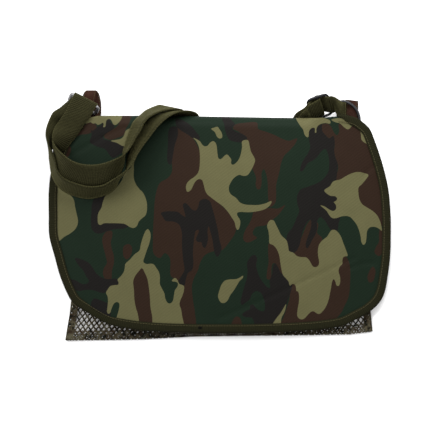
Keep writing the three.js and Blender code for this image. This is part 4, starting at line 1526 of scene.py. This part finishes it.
UPPER_RUN = FloorRun(-36, 106.5, 97, 42, 3.5)
LOWER_RUN = FloorRun(-54, 101, 99, 44, 1.4)
NEAR_LAYER = rows_of((
    (-179, 123, 24.5, -148, 115, 27), (-189, 106, 26, -159.5, 101, 24.5), (-193, 96, 37, -170, 87, 21.5),
    (-193.5, 90, 41.5, -180.5, 76, 19), (-193, 87, 44.5, -192, 73, 18), (-188.5, 78.5, 49, -191, 67, 22),
    (-180.5, 70, 54, -188.5, 56.5, 32), (-171, 63, 57, -183, 47, 38),
    (-159.5, 59, 58.5, -168.5, 38.5, 41.5), (-147.5, 58, 59.5, -150, 33.5, 45),
    (-136, 59, 60, -132.5, 35, 46), (-125.5, 62, 60.5, -118.5, 42.5, 42),
    (-116, 66.5, 60.5, -111.5, 54, 35), (-109, 70.5, 60.5, -109.5, 64.5, 31.5),
    (-106.5, 73, 61, -111, 73, 31.5), (-100, 82, 60.5, -108.5, 82, 32), (-95.5, 90.5, 60, -106, 91, 32),
    (-90.5, 98, 59.5, -103, 99.5, 32.5), (-85.5, 108, 58.5, -99, 108.5, 32),
    (-78.5, 115, 54.5, -92, 116, 27), (-65, 121.5, 41, -84, 122.5, 20), (-47, 124, 29, -68, 128.5, 14),
    (-41, 121.5, 14, -66.5, 127, 6), (-40, 116, 3.4, -69, 118.5, 2.2),
    (-39, 106, LOWER_RUN.z, -69, 108, LOWER_RUN.z),
))
FAR_LAYER = rows_of((
    (-185, 126, 20.5, -157, 115.5, 22.5), (-196.5, 112.5, 31, -181, 106, 6.5),
    (-200.5, 99.5, 39, -188, 90, 13.5), (-200.5, 91.5, 40, -194, 78, 14.5),
    (-198, 82.5, 39.5, -197.5, 69, 12.5), (-194, 75, 39.5, -197, 61, 13),
    (-190, 64.5, 39.5, -195.5, 50.5, 14), (-188, 52.8, 39.5, -191.5, 40.5, 15.5),
    (-180.3, 43, 42, -184.3, 31.4, 17.5), (-166.5, 37, 45.5, -170, 23.5, 21),
    (-150, 32.8, 48.5, -151, 20, 24.5), (-133.5, 33.8, 50.5, -131.5, 25.2, 29),
    (-122.5, 40.3, 53, -120.5, 32, 30), (-113.5, 46.5, 57, -115, 42.5, 31),
    (-104.5, 54, 60, -108.5, 50, 31.8), (-99, 60.5, 60, -107, 58, 32),
    (-94, 70.5, 60, -106, 67.5, 32.3), (-87.5, 80, 60, -103, 79, 33), (-80, 89.5, 60, -98.5, 88.5, 33.5),
    (-68, 104.5, 58, -90, 104, 34), (-55, 115.5, 52, -80, 114.5, 31), (-40, 121.5, 39, -67, 120.5, 20),
    (-26, 119.5, 19, -53.5, 118, 9.5), (-22, 114, 7.6, -51.5, 113, 6.2),
    (-21, 104, UPPER_RUN.z, -51, 103, UPPER_RUN.z),
))
UPPER_RISE = rows_of((
    (92, 107, 3.8, 121.5, 104, UPPER_RUN.z), (98, 117.9, 16, 118.5, 105.5, 4.8),
    (102.7, 122.2, 26.4, 114.5, 107.5, 7.5),
))
LOWER_RISE = rows_of((
    (86.5, 108, LOWER_RUN.z + 0.5, 116, 104.5, LOWER_RUN.z), (90.3, 116.3, 10, 113.4, 106.2, 1.5),
    (98.8, 122.9, 20.6, 110.8, 107.4, 2.5),
))


@dataclass
class Fittings:
    """Wire rings and the slider: places and sizes."""

    wire: float = 1.5
    left_wire: float = 2.0
    d_wire: float = 1.65
    left_place: tuple[float, float] = (-155.7, 133.7)
    left_top: float = 21.0
    left_bottom: float = 5.6
    left_half: float = 17.6
    left_turn: float = math.radians(-27.6)
    left_round: float = 3.0
    left_lean: float = math.radians(27.0)
    right_place: tuple[float, float, float] = (142.5, 111.0, 11.4)
    right_radius: float = 22.8
    right_fold: float = 145.6
    right_strap_y: float = 117.2
    slider_place: tuple[float, float, float] = (118.8, 126.6, 20.5)
    slider_half: float = 18.6
    slider_pitch: float = 12.5
    slider_round: float = 6.0
    slider_across: tuple[float, float, float] = (0.2, -0.6, -0.775)
    slider_along: tuple[float, float, float] = (-0.945, -0.326, 0.0)
    sides: int = 16
    corner_steps: int = 7
    arc_end: float = 80.0
    arc_steps: int = 40
    arc_corner: tuple[float, float] = (0.5, 0.9)
    bar_short: float = 2.4
    bar_sink: float = 0.4
    bar_steps: int = 12

    def left_bar(self) -> Array:
        """Direction of the left ring's bars."""
        return np.array([math.cos(self.left_turn), math.sin(self.left_turn), 0.0])

    def slider_axes(self) -> tuple[Array, Array, Array]:
        """The slider's directions across, along and out of its face."""
        across, along = unit(np.array(self.slider_across)), unit(np.array(self.slider_along))
        return across, along, unit(np.cross(along, across))

    def loop(self, centre: Array, first: Array, second: Array, half: tuple[float, float],
             round_: float) -> Array:
        """Rounded rectangle in the plane of two directions.

        Args:
            centre: its middle.
            first: one direction.
            second: the other direction.
            half: half-sizes along the two directions.
            round_: radius of its corners.

        Returns:
            Points round the rectangle.
        """
        points = []
        for corner, (a, b) in enumerate(((1, 1), (-1, 1), (-1, -1), (1, -1))):
            for turn in (corner + np.linspace(0, 1, self.corner_steps)) * np.pi / 2:
                points.append(centre + first * (a * (half[0] - round_) + round_ * np.cos(turn))
                              + second * (b * (half[1] - round_) + round_ * np.sin(turn)))
        return np.array(points)

    def wire_ring(self, path: Array, normal: Array, radius: float) -> Skin:
        """Round wire along a flat closed path."""
        travel = unit(np.roll(path, -1, 0) - np.roll(path, 1, 0))
        out = unit(np.cross(travel, normal))
        turn = 2 * np.pi * np.arange(self.sides) / self.sides
        spokes = out[:, None] * np.cos(turn)[:, None] + normal * np.sin(turn)[:, None]
        return swept(path[:, None] + radius * spokes, closed=True)

    def build(self, bright: bpy.types.Material, plated: bpy.types.Material,
              black: bpy.types.Material) -> list[bpy.types.Object]:
        """Makes the two rings and the slider.

        Args:
            bright: the left ring's metal.
            plated: the right ring's metal.
            black: the slider's metal.

        Returns:
            The three pieces.
        """
        bar = self.left_bar()
        lean = UP * math.cos(self.left_lean) + np.cross(UP, bar) * math.sin(self.left_lean)
        tall = (self.left_top - self.left_bottom) / 2 / math.cos(self.left_lean)
        centre = np.array([*self.left_place, self.left_top]) - lean * tall
        path = self.loop(centre, bar, lean, (self.left_half, tall), self.left_round)
        skin = self.wire_ring(path, np.cross(bar, lean), self.left_wire)
        left = as_object("left_loop", skin, [bright])
        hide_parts("left_ring")
        right = as_object("right_loop", self.wire_ring(self.d_path(), UP, self.d_wire), [plated])
        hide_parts("right_ring")
        across, along, out = self.slider_axes()
        middle = np.array(self.slider_place)
        path = self.loop(middle, along, across, (self.slider_pitch, self.slider_half), self.slider_round)
        rail = self.wire_ring(path, out, self.wire)
        half = self.slider_half - self.bar_sink * self.wire
        reach = np.linspace(-1, 1, self.bar_steps)[:, None] * across * half + middle
        bar = tubes(reach[None], np.broadcast_to(out, reach[None].shape), self.wire, self.wire, self.sides)
        slider = as_object("slider", joined([rail, bar]), [black])
        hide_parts("strap_slider")
        return [left, right, slider]

    def d_path(self) -> Array:
        """Path of the D ring's wire.

        Returns:
            Points along its arc, then along its straight bar.
        """
        x, y, z = self.right_place
        turn = np.radians(np.linspace(-self.arc_end, self.arc_end, self.arc_steps))
        arc = np.stack([x + self.right_radius * np.cos(turn), y + self.right_radius * np.sin(turn)], -1)
        corner = self.right_radius - self.arc_corner[1]
        bar = self.right_radius - self.bar_short
        out = x + self.arc_corner[0]
        ends = np.array([(out, y + corner), (x, y + bar), (x, y - bar), (out, y - corner)])
        flat = np.vstack([arc, ends])
        return np.column_stack([flat, np.full(len(flat), z)])


@dataclass
class ShoulderStrap:
    """One length of webbing: sewn to the right ring, doubled round the left ring and sewn to the slider."""

    fittings: Fittings
    strip: Strip = field(default_factory=lambda: Strip(30.0, 1.5, 14, 0.045))
    gap: float = 0.3
    hem: float = 7.0
    slid: float = 1.2
    run_fullness: float = 0.8
    turn_rows: int = 5
    run_rows: int = 9

    def section(self, middle: Array, across: Array) -> Row:
        """Section of the strap about its middle, along a direction across it."""
        arm = across * self.strip.width / 2
        return Row(tuple(middle - arm), tuple(middle + arm))

    def turn(self, centre: Array, across: Array, out: Array, radius: float) -> list[Row]:
        """Half-turn round a bar.

        Args:
            centre: the bar's middle.
            across: the bar's direction.
            out: the level direction in which the strap goes round.
            radius: distance of the strap's middle from the bar's axis.

        Returns:
            Sections from under the bar to over it.
        """
        angles = np.linspace(np.pi, 0, self.turn_rows)
        return [self.section(centre + out * radius * np.sin(angle) + UP * radius * np.cos(angle), across)
                for angle in angles]

    def floor_run(self, run: FloorRun) -> list[Row]:
        """The way round under the bag.

        Args:
            run: where it lies.

        Returns:
            Sections from the left of the top edge to the right.
        """
        rows = []
        span = (run.end - run.start) / 2
        for angle in np.linspace(0, np.pi, self.run_rows):
            x = (run.start + run.end) / 2 - span * np.cos(angle)
            low = run.y - run.depth * max(np.sin(angle), 0) ** self.run_fullness
            across = unit(np.array([-run.depth * np.cos(angle), -span * np.sin(angle), 0.0]))
            rows.append(self.section(np.array([x, low, run.z]), across))
        return rows

    def in_slider(self, along: float, lift: float) -> Row:
        """Section of the strap inside the slider."""
        across, ahead, out = self.fittings.slider_axes()
        middle = np.array(self.fittings.slider_place) + ahead * along + out * lift - across * self.slid
        return self.section(middle, across)

    def route(self) -> list[Row]:
        """Lays the strap's way.

        Returns:
            All its sections, from its sewn hem to its sewn end.
        """
        fit = self.fittings
        seat = self.strip.wall / 2 + self.gap
        ring = np.array([fit.right_fold, fit.right_strap_y, fit.right_place[2]])
        slack = fit.wire / 3
        sewn = self.turn(ring, np.array([0.0, -1.0, 0.0]), np.array([1.0, 0.0, 0.0]),
                         fit.d_wire + seat + slack)
        hem = Row(*[(x - self.hem, y, z) for x, y, z in sewn[0]])
        low = -(fit.wire + seat)
        slant = low * math.sqrt(0.5)
        pitch = fit.slider_pitch
        through = [self.in_slider(*place) for place in (
            (-pitch - 6 * slack, 2 * slack - low), (-pitch, 1.5 * slack - low), (-pitch / 2, -2 * slack),
            (0, low - self.strip.wall - slack),
            (pitch / 2, -2 * slack), (pitch, slack - low))]
        end = [self.in_slider(*place) for place in (
            (pitch, self.strip.wall + 3 * slack - low), (pitch / 2, 3 * slack - low), (slack, -low),
            (slant, -slant), (low, 0), (slant, slant), (slack, low))]
        bar = fit.left_bar()
        place = np.array([*fit.left_place, fit.left_top])
        left = self.turn(place, bar, np.array([-bar[1], bar[0], 0.0]), fit.left_wire + seat)
        near = [*left, *NEAR_LAYER, *self.floor_run(LOWER_RUN), *LOWER_RISE]
        far = [*FAR_LAYER, *self.floor_run(UPPER_RUN), *UPPER_RISE]
        return [hem, *sewn, *through, *near[::-1], *far, *end]

    def build(self, finish: bpy.types.Material) -> bpy.types.Object:
        """Makes the strap.

        Args:
            finish: the webbing's material.

        Returns:
            The strap.
        """
        skin, strip, length = self.strip.skin(self.route())
        made = as_object("strap_webbing", skin, [finish], strip=strip)
        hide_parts("shoulder_strap")
        LOG.info("strap length %.0f mm", length)
        flat = (self.strip.width * MM, length * MM)
        return made


LEFT_TAB_ROWS = rows_of((
    (-154, 92, 7.9, -138, 92, 7.9), (-154, 104, 7.7, -138, 104, 7.7),
    (-153, 118, 2.9, -136.5, 118, 2.9), (-153, 132, 2.7, -136.8, 132, 2.7),
    (-154.5, 141.5, 2.8, -139.2, 141, 2.8), (-156, 145.4, 5.6, -141.5, 145.4, 5.6),
    (-157.7, 141.5, 8.4, -143.5, 140.5, 8.4), (-159.5, 132, 8.6, -145.5, 132, 8.6),
    (-163.5, 118, 9, -149, 117, 9), (-167, 106, 9.4, -156.5, 104, 9.4),
))
RIGHT_TAB_ROWS = rows_of((
    (148.9, 135.6, 5.6, 164.2, 133.8, 5.6), (148.9, 120, 6.9, 164.2, 119, 6.9),
    (149.5, 106, 8, 164.5, 106, 8), (149.5, 88, 8.3, 164.5, 88, 8.3),
    (149.5, 82.8, 11.5, 164.5, 82.8, 11.5), (149.5, 88, 14.9, 164.5, 88, 14.9),
    (149.5, 98, 14.7, 164.5, 98, 14.7),
))


@dataclass
class LeatherTab:
    """Folded leather strip that holds a ring at a top corner."""

    name: str
    node: str
    rows: Sequence[Row]
    strip: Strip = field(default_factory=lambda: Strip(15.0, 2.0, 12, fold=0.56, pinch=0.22))
    stitch_step: int = 4
    stitch_place: float = 0.78
    stitch_share: float = 0.75
    thread: float = 0.3

    def build(self, finish: bpy.types.Material) -> bpy.types.Object:
        """Makes the tab.

        Args:
            finish: the leather.

        Returns:
            The tab.
        """
        skin, strip, length = self.strip.skin(self.rows)
        made = as_object(self.name, skin, [finish], strip=strip)
        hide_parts(self.node)
        length * MM
        return made

    def dress(self, thread: bpy.types.Material) -> bpy.types.Object:
        """Sews the tab along both edges, on both faces."""
        middle, arm, up = self.strip.frames(self.rows)
        picked = slice(None, None, self.stitch_step)
        skins = []
        for side in (-self.stitch_place, self.stitch_place):
            for face in (-1, 1):
                seam = middle + arm * side + up * face * self.strip.wall / 2
                skins.append(stitches(seam[picked], up[picked] * face, self.stitch_share, self.thread))
        return as_object(self.name + "_stitches", joined(skins), [thread])


@dataclass
class Studio:
    """Camera straight above the bag, a pale floor, an even sky and two soft lights."""

    span: float = 0.5054
    distance: float = 6.0
    aim: tuple[float, float] = (-0.00372, -0.00069)
    level: float = 0.015
    sensor: float = 36.0
    far_clip: float = 100.0
    floor_size: float = 8.0
    floor_finish: PlainFinish = PlainFinish("floor_white", (0.8, 0.8, 0.8), 0.9, glow=0.12)
    key_place: tuple[float, float, float] = (0.15, 0.6, 0.55)
    key_size: float = 0.5
    key_power: float = 9.0
    side_travel: tuple[float, float, float] = (0.55, -0.45, -0.7)
    side_angle: float = math.radians(25.0)
    side_power: float = 2.6
    ambient: float = 0.95

    def camera(self) -> None:
        """Sets the camera."""
        data = bpy.data.cameras.new("camera")
        data.sensor_width = self.sensor
        data.lens = self.sensor * self.distance / self.span
        data.clip_end = self.far_clip
        made = bpy.data.objects.new("camera", data)
        made.location = (*self.aim, self.level + self.distance)
        bpy.context.scene.collection.objects.link(made)
        bpy.context.scene.camera = made

    def floor(self) -> None:
        """Lays the floor."""
        half = self.floor_size / 2
        mesh = bpy.data.meshes.new("floor")
        corners = [(-half, -half, 0), (half, -half, 0), (half, half, 0), (-half, half, 0)]
        mesh.from_pydata(corners, [], [(0, 1, 2, 3)])
        mesh.materials.append(self.floor_finish.make())
        made = bpy.data.objects.new("floor", mesh)
        bpy.context.scene.collection.objects.link(made)

    def lamp(self, name: str, kind: str, power: float, travel: Vector) -> bpy.types.Object:
        """Adds a light that shines along a direction."""
        data = bpy.data.lights.new(name, kind)
        data.energy = power
        made = bpy.data.objects.new(name, data)
        made.rotation_mode = "QUATERNION"
        made.rotation_quaternion = travel.to_track_quat("-Z", "Y")
        bpy.context.scene.collection.objects.link(made)
        return made

    def light(self) -> None:
        """Sets an even sky, a soft light beyond the top edge and one from the upper left."""
        world = bpy.data.worlds.new("sky")
        bpy.context.scene.world = world
        world.use_nodes = True
        sky = world.node_tree.nodes["Background"].inputs
        sky["Color"].default_value = (1.0, 1.0, 1.0, 1.0)
        sky["Strength"].default_value = self.ambient
        key = self.lamp("key", "AREA", self.key_power, -Vector(self.key_place))
        key.location = self.key_place
        key.data.size = self.key_size
        side = self.lamp("side", "SUN", self.side_power, Vector(self.side_travel))
        side.data.angle = self.side_angle
        bpy.context.scene.view_settings.view_transform = "Standard"

    def build(self) -> None:
        """Sets camera, floor and light."""
        self.camera()
        self.floor()
        self.light()


INK_COLOURS = {
    Ink.GREEN: (0.0048, 0.0098, 0.0055),
    Ink.BROWN: (0.0145, 0.0078, 0.0048),
    Ink.BLACK: (0.0056, 0.005, 0.0045),
    Ink.BEIGE: (0.0653, 0.0618, 0.0279),
}
TAPE = TapeFinish("tape_olive", (0.0092, 0.009, 0.004), 0.0022, 0.0015)
# The webbing's half sets where its painted selvedge highlight begins.
WEBBING = TapeFinish("webbing_olive", (0.0150, 0.0142, 0.0058), 0.0019, 0.0021, contrast=0.5,
                     depth=0.0003, half=0.015, nap=0.8)
CORD = CordFinish("cord_mottled", (0.058, 0.0525, 0.0325), (0.025, 0.0172, 0.0102),
                  (0.0041, 0.0044, 0.0029))
LEATHER = LeatherFinish("leather_brown", (0.0185, 0.0072, 0.0042))
OLIVE_THREAD = PlainFinish("thread_olive", (0.0424, 0.0377, 0.0182))
DARK_THREAD = PlainFinish("thread_dark", (0.0035, 0.0035, 0.0029))
BRIGHT_WIRE = MetalFinish("bright_wire", (0.2, 0.2, 0.205), 0.5)
PLATED_WIRE = MetalFinish("plated_wire", (0.03, 0.03, 0.032), 0.45)
BLACK_WIRE = MetalFinish("black_wire", (0.018, 0.018, 0.0195), 0.35)


def main() -> None:
    """Builds the bag piece by piece."""
    logging.basicConfig(level=logging.INFO)
    Studio().build()
    cloth = [ClothFinish("cloth_" + ink.name.lower(), INK_COLOURS[ink]).make() for ink in Ink]
    cord, leather, thread = CORD.make(), LEATHER.make(), OLIVE_THREAD.make()
    BackPanel().build(cloth)
    net = NetPouch()
    net.build(cord)
    net.dress(cord)
    flap = Flap()
    flap.dress(flap.build(cloth))
    binding = FlapBinding(flap)
    binding.build(TAPE.make())
    binding.dress(thread)
    binding.tack(DARK_THREAD.make())
    fittings = Fittings()
    fittings.build(BRIGHT_WIRE.make(), PLATED_WIRE.make(), BLACK_WIRE.make())
    ShoulderStrap(fittings).build(WEBBING.make())
    for tab in (LeatherTab("left_leather", "left_tab", LEFT_TAB_ROWS),
                LeatherTab("right_leather", "right_tab", RIGHT_TAB_ROWS)):
        tab.build(leather)
        tab.dress(thread)


if __name__ == "__main__":
    main()
